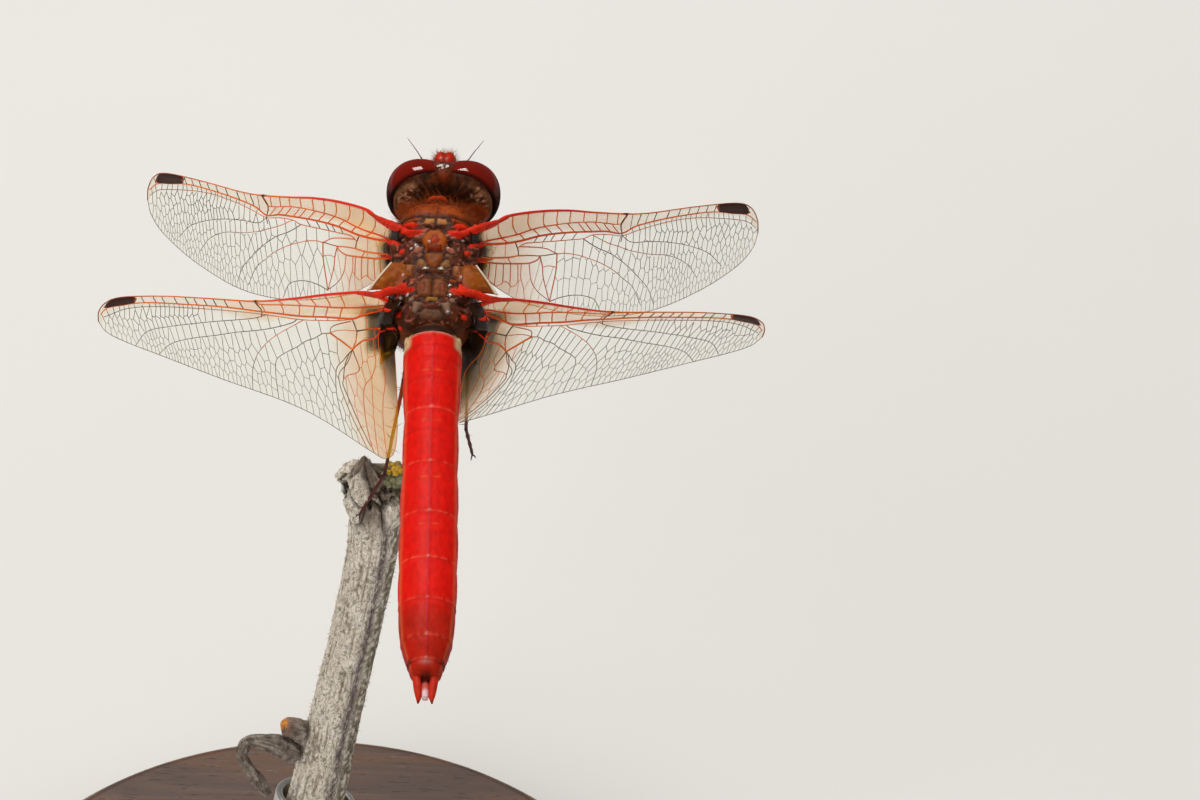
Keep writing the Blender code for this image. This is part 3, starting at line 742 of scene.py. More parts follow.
def circle_centre(a, b, c):
    """The middle of the circle through three points."""
    d = 2 * (a[0] * (b[1] - c[1]) + b[0] * (c[1] - a[1]) + c[0] * (a[1] - b[1]))
    if abs(d) < 1e-14:
        return (a + b + c) / 3
    squares = [(p ** 2).sum() for p in (a, b, c)]
    x = squares[0] * (b[1] - c[1]) + squares[1] * (c[1] - a[1]) + squares[2] * (a[1] - b[1])
    y = squares[0] * (c[0] - b[0]) + squares[1] * (a[0] - c[0]) + squares[2] * (b[0] - a[0])
    return np.array((x / d, y / d))


CELL_SEEDS = {"wing_fore_left": 3, "wing_fore_right": 5, "wing_hind_left": 7, "wing_hind_right": 11}
cells = {name: grow_cells("fore" if "fore" in name else "hind", seed) for name, seed in CELL_SEEDS.items()}
print("cell borders:", {name: len(found) for name, found in cells.items()})

# %% [markdown]
# The colours of the wing: veins run from red at the root through orange to nearly black, the sheet is clear
# with an amber wash at the root and along the front border, and the stigma is a thick dark cell near the tip.

# %% Finishes of the wings


def vein_finish():
    """Red, orange and dark tubes with a waxy skin."""
    finish = Finish("vein", Specular_IOR_Level=0.15)
    red = finish.attribute("redness")
    mottle = finish.grain(finish.place(), 2.2)
    tone = red + (mottle - 0.5) * 0.16
    dark = finish.blend(mottle, (0.014, 0.008, 0.004), (0.050, 0.026, 0.008))
    warm = finish.blend(tone.step(0.03, 0.30), dark, (0.78, 0.145, 0.003))
    colour = finish.blend(tone.step(0.55, 1.0), warm, (0.74, 0.026, 0.007))
    relief = finish.bump(finish.grain(finish.place(), 14.0), 0.012, 0.6)
    return finish.wear(Base_Color=colour, Normal=relief, Roughness=finish.between(mottle, 0.36, 0.55))


def sheet_finish():
    """Clear cuticle: almost all light passes, more amber where the wing is tinted, dark on the basal streaks and on
    painted shade at the root.
    """
    finish = Finish("wing_sheet", Specular_IOR_Level=0.12)
    amber, smoke = finish.attribute("amber"), finish.attribute("smoke")
    cloud = finish.grain(finish.place(), 0.55)
    clear = finish.blend(cloud, (0.86, 0.80, 0.36), (0.72, 0.70, 0.30))
    tinted = finish.blend(amber.step(0.0, 0.5), clear, (0.86, 0.43, 0.012))
    colour = finish.blend(smoke, tinted, (0.022, 0.010, 0.005))
    cover = finish.between(amber, 0.05, 0.38) + cloud * 0.04 + smoke * 0.5
    wrinkle = finish.bump(finish.grain(finish.place(), 3.4, detail=4.0), 0.02, 0.5)
    return finish.wear(Base_Color=colour, Alpha=cover, Normal=wrinkle, Roughness=finish.between(cloud, 0.12, 0.26))


def stigma_finish():
    """A thick dark cell whose ends pale to orange."""
    finish = Finish("stigma", Specular_IOR_Level=0.08)
    ends = finish.attribute("stigma_end")
    mottle = finish.grain(finish.place(), 3.2)
    dark = finish.blend(mottle, (0.022, 0.0045, 0.0025), (0.055, 0.009, 0.004))
    colour = finish.blend((ends + (mottle - 0.5) * 0.3).step(0.70, 0.98), dark, (0.46, 0.070, 0.008))
    relief = finish.bump(finish.grain(finish.place(), 11.0), 0.02, 0.6)
    return finish.wear(Base_Color=colour, Normal=relief, Roughness=finish.between(mottle, 0.28, 0.5))


VEIN = vein_finish()
SHEET = sheet_finish()
STIGMA = stigma_finish()
print("finishes:", VEIN.name, SHEET.name, STIGMA.name)

# %% Vein tubes by Geometry Nodes
VEIN_SIDES = 5
vein_tree = Growth("vein tubes", Sides=VEIN_SIDES, Fullness=1.0)
line = vein_tree.node("GeometryNodeMeshToCurve", inputs={"Mesh": vein_tree.start.outputs["Geometry"]})
ring = vein_tree.node("GeometryNodeCurvePrimitiveCircle", inputs={
    "Resolution": vein_tree.start.outputs["Sides"], "Radius": 0.5})
width = vein_tree.times(vein_tree.named("width"), vein_tree.start.outputs["Fullness"])
tube = vein_tree.node("GeometryNodeCurveToMesh", inputs={
    "Curve": line, "Profile Curve": ring, "Scale": width, "Fill Caps": True})
rounded = vein_tree.node("GeometryNodeSetShadeSmooth", inputs={"Geometry": tube})
vein_tree.end(rounded, VEIN)
print("the vein tree has", len(vein_tree.tree.nodes), "nodes")


def build_veins(wing):
    """All veins of one wing as tubes that stand proud of its sheet on both sides."""
    points, edges, widths, redness = [], [], [], []
    for places, width, red in vein_lines(wing.kind):
        start = len(points)
        points += list(wing.point(places[:, 0], places[:, 1]))
        widths += list(width)
        redness += list(red)
        edges += [(start + i, start + i + 1) for i in range(len(places) - 1)]
    for a, b in cells[wing.name]:
        mid = (a + b) / 2
        front, back = wing.edges(mid[0])
        start = len(points)
        points += list(wing.point(np.array((a[0], b[0])), np.array((a[1], b[1]))))
        rear = (mid[1] - front) / (back - front)
        thin = 0.040 - 0.013 * smooth(0.2, 0.9, rear) - 0.006 * mid[0]
        near_root = 1 - smooth(0.10, 0.34 if wing.kind == "fore" else 0.20, mid[0])
        widths += [thin, thin]
        redness += [0.45 * near_root, 0.45 * near_root]
        edges.append((start, start + 1))
    seedbed = make_mesh(wing.name + "_net", in_world(BODY, points), [], edges)
    add_attribute(seedbed, "width", np.array(widths) * MM)
    add_attribute(seedbed, "redness", redness)
    return vein_tree.grow(seedbed, wing.name + "_veins", Sides=VEIN_SIDES, Fullness=1.0)


# %% The clear sheet and the stigma
SHEET_ROWS, SHEET_COLUMNS = 110, 34
STIGMA_ROWS, STIGMA_COLUMNS = 26, 9
TIP_MARGIN = 0.0006


def closed_plate(upper, lower, rows, columns):
    """Points and faces of a thin plate between two equal grids of points."""
    points = np.concatenate([upper.reshape(-1, 3), lower.reshape(-1, 3)])
    shift = rows * columns
    faces = []
    for i in range(rows - 1):
        for j in range(columns - 1):
            a = i * columns + j
            quad = (a, a + 1, a + columns + 1, a + columns)
            faces.append(quad)
            faces.append(tuple(shift + k for k in reversed(quad)))
    rim = list(range(columns)) + [i * columns + columns - 1 for i in range(1, rows)]
    rim += [(rows - 1) * columns + j for j in range(columns - 2, -1, -1)]
    rim += [i * columns for i in range(rows - 2, 0, -1)]
    for a, b in zip(rim, rim[1:] + rim[:1]):
        faces.append((a, b, shift + b, shift + a))
    return points, faces


INNER_REACH = {"fore": 0.031, "hind": 0.042}


def build_sheet(wing):
    """The wing's membrane, a closed plate as thin as the veins allow."""
    ends = wing.front[-1, 0]
    share = (1 - np.cos(np.linspace(0, math.pi, SHEET_ROWS))) / 2 * 0.4 + np.linspace(0, 1, SHEET_ROWS) * 0.6
    out = (share * (ends - TIP_MARGIN))[:, None] + np.zeros(SHEET_COLUMNS)
    front, back = wing.edges(out)
    across = np.linspace(0, 1, SHEET_COLUMNS)
    behind = front + (back - front) * across
    out = out - INNER_REACH[wing.kind] * smooth(0.05, 0.0, out) * smooth(0.60, 0.30, across)
    half = WING_THICKNESS / 2
    upper, lower = wing.point(out, behind, half), wing.point(out, behind, -half)
    points, faces = closed_plate(upper, lower, SHEET_ROWS, SHEET_COLUMNS)
    sheet = make_mesh(wing.name + "_sheet", in_world(BODY, points), faces)
    strip_width = 0.045 - 0.015 * smooth(0.45, 0.65, out)
    strip = smooth(strip_width, strip_width - 0.010, behind - front) * smooth(0.0, 0.1, out)
    root_reach = 0.30 if wing.kind == "fore" else 0.26
    amber = np.clip(0.95 * smooth(root_reach, 0.02, out) + (0.50 - 0.24 * smooth(0.45, 0.60, out)) * strip, 0, 1)
    rear = (behind - front) / np.maximum(back - front, 1e-3)
    streak = smooth(0.13, 0.03, out) * smooth(0.012, 0.018, behind) * smooth(0.036, 0.030, behind)
    streak += smooth(0.075, 0.045, out) * smooth(0.02, 0.03, behind) * smooth(0.11, 0.09, behind)
    smoke = streak * 0.9 if wing.kind == "hind" else 0.75 * smooth(0.05, 0.01, out) * smooth(0.02, 0.04, behind)
    # Painted shadow: the abdomen's shadow lies dark on the base of the right hind wing.
    if wing.name == "wing_hind_right":
        smoke = np.maximum(smoke, 0.85 * smooth(0.15, 0.02, out) * smooth(0.10, 0.30, rear))
    # Painted shade: the very root of each wing is darkened where it meets the shaded side of the body.
    smoke = np.clip(smoke + (1.4 if wing.kind == "hind" else 1.0) * smooth(0.020, -0.004, out), 0, 1)
    add_attribute(sheet, "amber", np.concatenate([amber.ravel(), amber.ravel()]))
    add_attribute(sheet, "smoke", np.concatenate([smoke.ravel(), smoke.ravel()]))
    sheet.data.materials.append(SHEET)
    return sheet


def build_stigma(wing):
    """The dark cell between the border and the radius, swollen on both sides of the sheet."""
    rows, columns = STIGMA_ROWS, STIGMA_COLUMNS
    near, far = STIGMA_SPAN[wing.kind]
    radius = vein_curve(wing.kind, "radius")
    out = np.linspace(near, far, rows)[:, None] + np.zeros(columns)
    front = wing.edges(out)[0]
    back = np.interp(out, radius[:, 0], radius[:, 1])
    across = np.linspace(0, 1, columns)
    rounding = np.sqrt(1 - np.abs(np.linspace(-0.98, 0.98, rows))[:, None] ** 7)
    behind = (front + back) / 2 + (back - front) * (across - 0.5) * rounding * 1.06
    out = out + (across - 0.5) * 0.010
    swell = 0.03 + 0.05 * np.sin(np.pi * across) * np.sin(np.pi * np.linspace(0, 1, rows))[:, None] ** 0.4
    upper, lower = wing.point(out, behind, swell), wing.point(out, behind, -swell)
    points, faces = closed_plate(upper, lower, rows, columns)
    stigma = make_mesh(wing.name + "_stigma", in_world(BODY, points), faces)
    end = np.abs(np.linspace(-1, 1, rows))[:, None] ** 2 + 0 * across
    add_attribute(stigma, "stigma_end", np.concatenate([end.ravel(), end.ravel()]))
    stigma.data.materials.append(STIGMA)
    return stigma


for wing_name in WINGS:
    wing = Wing(wing_name)
    settle(build_sheet(wing), [wing_name])
    settle(build_veins(wing), [])
    settle(build_stigma(wing), [])

# %% [markdown]
# The trunk is one skin over head, neck and thorax. It starts as the same plain rounded forms as the solids,
# grown together into one closed surface, and then carries the relief of a dragonfly's back: the shields and
# plates between the wings, raised a tenth or two of a millimetre over a dark ground. Each plate is an outline
# in the body's own plan, with its height and colour, so relief and colour always agree.

# %% Rounded forms


def powered(value, power):
    """A power that keeps the sign."""
    return np.sign(value) * np.abs(value) ** power


def rounded_block(centre, radii, squareness, rows=40, sides=64):
    """Points and faces of a rounded block; squareness 2 is an egg."""
    lat = np.linspace(-math.pi / 2, math.pi / 2, rows + 2)[1:-1, None]
    lon = np.linspace(0, 2 * math.pi, sides, endpoint=False)
    flat = powered(np.cos(lat), 2 / squareness)
    rings = np.stack([centre[0] + radii[0] * flat * powered(np.cos(lon), 2 / squareness),
                      centre[1] + radii[1] * powered(np.sin(lat), 2 / squareness) + 0 * lon,
                      centre[2] + radii[2] * flat * powered(np.sin(lon), 2 / squareness)], -1)
    points, faces = wrap_rings(rings)
    for pole, sign in ((-2, -1), (-1, 1)):
        points[pole] = (centre[0], centre[1] + sign * radii[1], centre[2])
    return points, faces


BODY_SIDES = 96


def body_rings(stations, upper, lower):
    """Squarish oval rings across the body from (place, half width, top, bottom) stations."""
    angle = np.linspace(0, 2 * math.pi, BODY_SIDES, endpoint=False)
    power = 2 / np.where(np.sin(angle) > 0, upper, lower)
    rings = []
    for place, half_width, top, bottom in stations:
        x = half_width * powered(np.cos(angle), power)
        z = (top + bottom) / 2 + (top - bottom) / 2 * powered(np.sin(angle), power)
        rings.append(np.stack([x, np.full(BODY_SIDES, place), z], 1))
    return np.array(rings)


def tube_shell(path, radii, sides=20, steps=8):
    """A closed tube through a few points."""
    line = curve_through(path, steps)
    width = np.interp(np.linspace(0, 1, len(line)), np.linspace(0, 1, len(radii)), radii)
    return wrap_rings(circle_rings(line, width, sides))


def join_shells(shells):
    """Several shells as one list of points and faces."""
    points, faces = [], []
    for shell_points, shell_faces in shells:
        start = len(points)
        points += [tuple(point) for point in shell_points]
        faces += [tuple(start + k for k in face) for face in shell_faces]
    return np.array(points), faces


def grow_together(shells, voxel):
    """One closed surface around overlapping shells, with its points' directions outwards."""
    points, faces = join_shells(shells)
    rough = make_mesh("rough", points, faces)
    remesh = rough.modifiers.new("remesh", "REMESH")
    remesh.mode = "VOXEL"
    remesh.voxel_size = voxel
    ready = rough.evaluated_get(bpy.context.evaluated_depsgraph_get())
    mesh = bpy.data.meshes.new_from_object(ready)
    bpy.data.objects.remove(rough)
    grown = np.empty(len(mesh.vertices) * 3)
    mesh.vertices.foreach_get("co", grown)
    faces = [tuple(face.vertices) for face in mesh.polygons]
    normals = np.empty(len(mesh.vertices) * 3)
    mesh.vertices.foreach_get("normal", normals)
    bpy.data.meshes.remove(mesh)
    return grown.reshape(-1, 3), normals.reshape(-1, 3), faces


print("an egg has", len(rounded_block((0, 0, 0), (1, 1, 1), 2)[0]), "points")

# %% The trunk's forms, in the body's frame
THORAX_STATIONS = ((-4.05, 1.45, 2.65, -0.1), (-3.6, 1.95, 2.85, -0.7), (-2.6, 2.35, 3.0, -2.1),
                   (-1.4, 2.48, 3.05, -3.2), (0.0, 2.50, 3.05, -3.9), (1.6, 2.50, 3.05, -4.1),
                   (2.8, 2.45, 2.98, -4.05), (3.6, 2.35, 2.95, -3.9), (4.2, 2.15, 2.75, -3.6),
                   (4.7, 1.85, 2.30, -3.1), (5.05, 1.45, 1.60, -2.4), (5.25, 0.90, 0.60, -1.6))
PROTHORAX_STATIONS = ((4.9, 0.75, 2.0, -1.4), (5.08, 0.85, 2.30, -1.5), (5.2, 0.95, 2.42, -1.7),
                      (5.32, 0.90, 2.30, -1.6), (5.5, 0.80, 1.5, -1.3), (5.9, 0.75, 0.9, -1.0),
                      (6.3, 0.7, 0.6, -0.8))
AXILLARY_LUMPS = (((2.05, 1.35, 2.35), (0.42, 0.60, 0.38)), ((2.02, 0.50, 2.30), (0.40, 0.50, 0.34)),
                  ((2.30, 1.72, 1.95), (0.46, 0.46, 0.44)),
                  ((2.05, -2.75, 2.25), (0.42, 0.52, 0.38)), ((1.95, -3.35, 2.05), (0.42, 0.42, 0.36)))
HIPS = ((0.95, 3.7, -3.9), (1.0, 2.4, -4.0), (1.1, 0.9, -3.9))
trunk_shells = [wrap_rings(body_rings(curve_through(THORAX_STATIONS, 5), 3.2, 2.3)),
                wrap_rings(body_rings(curve_through(PROTHORAX_STATIONS, 5), 2.2, 2.2))]
for x, y, z in HIPS:
    for side in (-1, 1):
        trunk_shells.append(rounded_block((side * x, y, z), (0.55, 0.62, 0.75), 2.1))

for centre, radii in AXILLARY_LUMPS:
    for side in (-1, 1):
        trunk_shells.append(rounded_block(np.array(centre) * (side, 1, 1), radii, 2.1))

# The thick roots of the wings' veins, which run into the body: where the front one starts on the back, and how
# far behind the hinge line the others enter
WING_ROOTS = {
    "fore": (((0.85, 2.15, 2.95), (1.50, 2.02, 3.05), (2.15, 2.35, 3.02), (2.75, 3.0, 2.60)), (0.037, 0.068)),
    "hind": (((1.15, -1.95, 2.98), (1.70, -2.10, 3.05), (2.35, -2.12, 2.95), (2.95, -2.0, 2.45)), (0.017, 0.055)),
}
FRONT_ROOT_SHAPE = (0.08, 0.18, 0.24, 0.22, 0.06)
INNER_ROOT_SHAPE = (0.06, 0.11, 0.08, 0.05)
root_paths = []
for wing_name in WINGS:
    wing = Wing(wing_name)
    on_back, entries = WING_ROOTS[wing.kind]
    sided = [np.array(place) * (wing.side, 1, 1) for place in on_back]
    routes = [([*sided, wing.point(0.10, -0.010)], FRONT_ROOT_SHAPE)]
    for entry in entries:
        routes.append(([wing.point(out, entry) for out in (-0.030, -0.012, 0.012, 0.04)], INNER_ROOT_SHAPE))
    for path, radii in routes:
        root_paths.append((curve_through(path, 6), radii))
        trunk_shells.append(tube_shell(path, radii, 16, 6))
print(len(trunk_shells), "forms in the thorax,", len(root_paths), "of them roots of the wings' veins")

# %% The head's forms, in the head's frame
EYE_CENTRE = (1.26, 0.0, 0.1)
EYE_RADII = (1.94, 1.66, 2.03)
EYE_SQUARENESS = 2.15
EYE_CLEARANCE = 0.10
HEAD_REAR = -1.12


def head_shells():
    """Brain case, two-lobed forehead, vertex, occiput, upper lip and jaws."""
    inner = tuple(r - EYE_CLEARANCE for r in EYE_RADII)
    shells = [rounded_block((0, -0.2, -0.45), (2.25, 1.25, 1.7), 2.3)]
    for side in (-1, 1):
        points, faces = rounded_block(np.array(EYE_CENTRE) * (side, 1, 1), inner, EYE_SQUARENESS, 60, 96)
        rear = points[:, 1] < HEAD_REAR
        points[rear, 1] = HEAD_REAR - 0.25 * (1 - np.exp(-(HEAD_REAR - points[rear, 1]) / 0.25))
        shells.append((points, faces))
    for side in (-1, 1):
        shells.append(rounded_block((side * 0.24, 1.62, 0.62), (0.44, 0.94, 0.95), 2.15))
        shells.append(rounded_block((side * 0.62, 1.15, -0.95), (0.72, 1.05, 1.1), 2.2))
    shells += [rounded_block((0, 1.45, 0.1), (1.05, 0.85, 0.6), 2.2),
               rounded_block((0, 1.60, 0.60), (0.50, 0.88, 0.90), 2.3),
               rounded_block((0, 0.20, 1.63), (0.68, 0.40, 0.47), 3.8),
               rounded_block((0, 1.05, -1.05), (1.25, 1.05, 1.2), 2.3),
               rounded_block((0, -0.33, 1.60), (0.62, 0.52, 0.46), 2.3),
               tube_shell(((0, -0.9, 0.1), (0, -1.3, 0.0), (0, -1.75, -0.1)), (0.8, 0.72, 0.7))]
    return shells


head_points, head_faces = join_shells(head_shells())
to_body = BODY.inverted() @ HEAD
head_points = in_world(to_body, head_points)
neck = tube_shell(((0.1, 5.2, -0.1), (0.16, 5.6, 0.0), (0.22, 6.1, 0.1)), (0.75, 0.66, 0.70))
trunk_shells += [(head_points, head_faces), neck]
TRUNK_VOXEL = 0.080
trunk_points, trunk_normals, trunk_faces = grow_together(trunk_shells, TRUNK_VOXEL)
print("trunk", len(trunk_points), "points")

# %% [markdown]
# The plan of the back. A meadowhawk's fore and hind wings each hinge on a chain of small red plates, and
# between them lie the brown shields of the second and third ring of the thorax, like tiles with dark gaps.

# %% Plates of the back: outline in the body's plan, mirrored or not, height, colour
TAN, GREY_BROWN = (0.46, 0.190, 0.062), (0.20, 0.055, 0.016)
RED, DEEP_RED, PINK = (0.62, 0.022, 0.008), (0.16, 0.012, 0.004), (0.42, 0.130, 0.085)
SLATE, RUST = (0.095, 0.052, 0.030), (0.30, 0.050, 0.007)
PLATES = (
    (((0.06, 3.14), (0.58, 3.10), (0.68, 2.82), (0.52, 2.72), (0.08, 2.76)), True, 0.12, TAN),
    (((0.80, 3.25), (1.9, 3.15), (2.0, 2.95), (1.2, 2.98), (0.85, 3.05)), True, 0.08, RUST),
    (((-0.30, 2.25), (0.30, 2.25), (0.62, 1.85), (0.74, 1.50), (0.60, 1.15), (0.46, 0.95), (0.52, 0.72),
      (-0.52, 0.72), (-0.46, 0.95), (-0.60, 1.15), (-0.74, 1.50), (-0.62, 1.85)), False, 0.20, (0.35, 0.072, 0.009)),
    (((-0.13, 1.78), (0.13, 1.78), (0.24, 1.35), (0.10, 1.20), (-0.10, 1.20), (-0.24, 1.35)),
     False, 0.02, (0.34, 0.03, 0.01)),
    (((-0.36, 1.12), (0.36, 1.12), (0.40, 0.74), (-0.40, 0.74)), False, -0.02, DEEP_RED),
    (((0.52, 2.02), (0.84, 2.05), (0.92, 1.86), (0.62, 1.80)), True, 0.10, PINK),
    (((0.80, 1.88), (1.16, 1.90), (1.18, 1.72), (0.86, 1.68)), True, 0.16, PINK),
    (((0.60, 1.02), (1.05, 1.12), (1.20, 0.74), (0.98, 0.62), (0.66, 0.78)), True, 0.12, (0.36, 0.120, 0.080)),
    (((-0.48, 0.60), (0.48, 0.60), (0.56, 0.34), (0.20, -0.46), (-0.20, -0.46), (-0.56, 0.34)),
     False, 0.17, GREY_BROWN),
    (((0.62, 0.22), (0.92, 0.16), (0.94, -0.28), (0.62, -0.46), (0.34, -0.40), (0.42, -0.12)),
     True, 0.15, (0.23, 0.110, 0.045)),
    (((0.26, -0.40), (0.60, -0.44), (0.62, -0.58), (0.30, -0.56)), True, 0.19, (0.62, 0.56, 0.36)),
    (((0.62, 0.62), (0.96, 0.52), (0.94, 0.38), (0.62, 0.44)), True, 0.12, (0.24, 0.12, 0.07)),
    (((0.98, -0.28), (1.30, -0.12), (1.95, 0.02), (2.35, -0.55), (2.55, -1.35), (2.2, -1.75), (1.95, -1.45),
      (1.60, -1.05), (1.10, -0.90)), True, 0.12, (0.26, 0.070, 0.010)),
    (((1.05, -0.22), (1.45, -0.20), (1.50, -0.70), (1.15, -0.80)), True, 0.15, (0.33, 0.12, 0.055)),
    (((0.03, -1.28), (0.50, -1.20), (0.84, -1.55), (0.88, -2.10), (0.78, -2.42), (0.30, -2.50), (0.03, -2.42)),
     True, 0.20, (0.185, 0.060, 0.022)),
    (((0.40, -1.70), (0.64, -1.62), (0.68, -2.15), (0.44, -2.20)), True, 0.02, (0.24, 0.040, 0.022)),
    (((-0.38, -2.46), (0.38, -2.46), (0.30, -2.74), (-0.30, -2.74)), False, 0.16, (0.30, 0.150, 0.030)),
    (((0.88, -1.20), (1.35, -1.15), (1.30, -1.35), (0.92, -1.38)), True, 0.10, RUST),
    (((0.44, -2.85), (1.02, -2.74), (1.10, -3.35), (0.90, -3.62), (0.62, -3.15)), True, 0.13, (0.20, 0.125, 0.085)),
    (((-0.20, -2.86), (0.20, -2.86), (0.42, -3.22), (-0.42, -3.22)), False, 0.08, (0.10, 0.022, 0.012)),
    (((-0.42, -3.26), (0.42, -3.26), (0.70, -3.55), (0.58, -3.90), (-0.58, -3.90), (-0.70, -3.55)),
     False, 0.12, SLATE),
    (((0.92, 2.66), (1.20, 2.94), (1.70, 2.96), (1.98, 2.70), (1.75, 2.42), (1.20, 2.40)), True, 0.26, RED),
    (((2.05, 2.75), (2.4, 2.75), (2.3, 2.5), (2.0, 2.45)), True, 0.10, TAN),
    (((1.62, 1.15), (1.95, 1.10), (2.0, 0.80), (1.68, 0.78)), True, 0.14, RED),
    (((1.45, -1.35), (1.95, -1.35), (2.05, -1.75), (1.95, -2.15), (1.35, -2.05)), True, 0.20, RED),
    (((1.62, -3.20), (1.98, -3.22), (2.0, -3.55), (1.65, -3.55)), True, 0.14, RED),
    (((0.95, -2.50), (1.25, -2.45), (1.35, -2.75), (1.02, -2.78)), True, 0.14, (0.26, 0.15, 0.10)),
)
PLATE_FLOOR = 2.15
PLATE_RISE = 0.62
GROOVE_HALF = 0.042
print(len(PLATES), "plates in the plan,", sum(mirrored for _, mirrored, _, _ in PLATES), "of them on both sides")


def outline_distance(outline, x, y):
    """Distance to a closed outline, negative inside it."""
    corners = np.array(outline)
    nearest = np.full(len(x), 9.0)
    inside = np.zeros(len(x), bool)
    for (ax, ay), (bx, by) in zip(corners, np.roll(corners, -1, 0)):
        length = (bx - ax) ** 2 + (by - ay) ** 2
        t = np.clip(((x - ax) * (bx - ax) + (y - ay) * (by - ay)) / length, 0, 1)
        nearest = np.minimum(nearest, np.hypot(x - ax - t * (bx - ax), y - ay - t * (by - ay)))
        crosses = (ay > y) != (by > y)
        slope = (bx - ax) * (y - ay) / np.where(by == ay, 1e-9, by - ay) + ax
        inside ^= crosses & (x < slope)
    return np.where(inside, -nearest, nearest)


def tint(colour, mask, over):
    """Lay a colour over another where a mask is 1."""
    return colour + (np.array(over) - colour) * np.clip(mask, 0, 1)[:, None]


def cloud(points, scale, seed=0.0):
    """Soft noise about -1 to 1 on points, for uneven relief and colour."""
    offset = Vector((seed, seed * 1.7, seed * 0.6))
    return np.array([noise.noise(Vector(point) * scale + offset) for point in points])


def paint_back(points, normals, colour, relief):
    """Shields and plates between the wings."""
    warp = np.where(points[:, 2] > PLATE_FLOOR - 0.6)[0]
    x, y, z = points[warp].T
    x = x + 0.035 * cloud(points[warp], 3.5, 4.0)
    y = y + 0.035 * cloud(points[warp], 3.5, 9.0)
    facing = smooth(0.25, 0.6, normals[warp, 2]) * smooth(PLATE_FLOOR - 0.5, PLATE_FLOOR, z)
    for outline, mirrored, height, tone in PLATES:
        away = outline_distance(outline, np.abs(x) if mirrored else x, y)
        raised = smooth(0.0, -0.17, away) * facing
        relief[warp] += height * PLATE_RISE * raised
        groove = hump(away, 0, GROOVE_HALF) * facing
        relief[warp] -= 0.035 * groove
        ground = tint(colour[warp], smooth(0.02, -0.03, away) * facing, tone)
        colour[warp] = ground * (1 - 0.62 * groove)[:, None]
    return colour, relief


# %% Colour and relief of thorax and neck


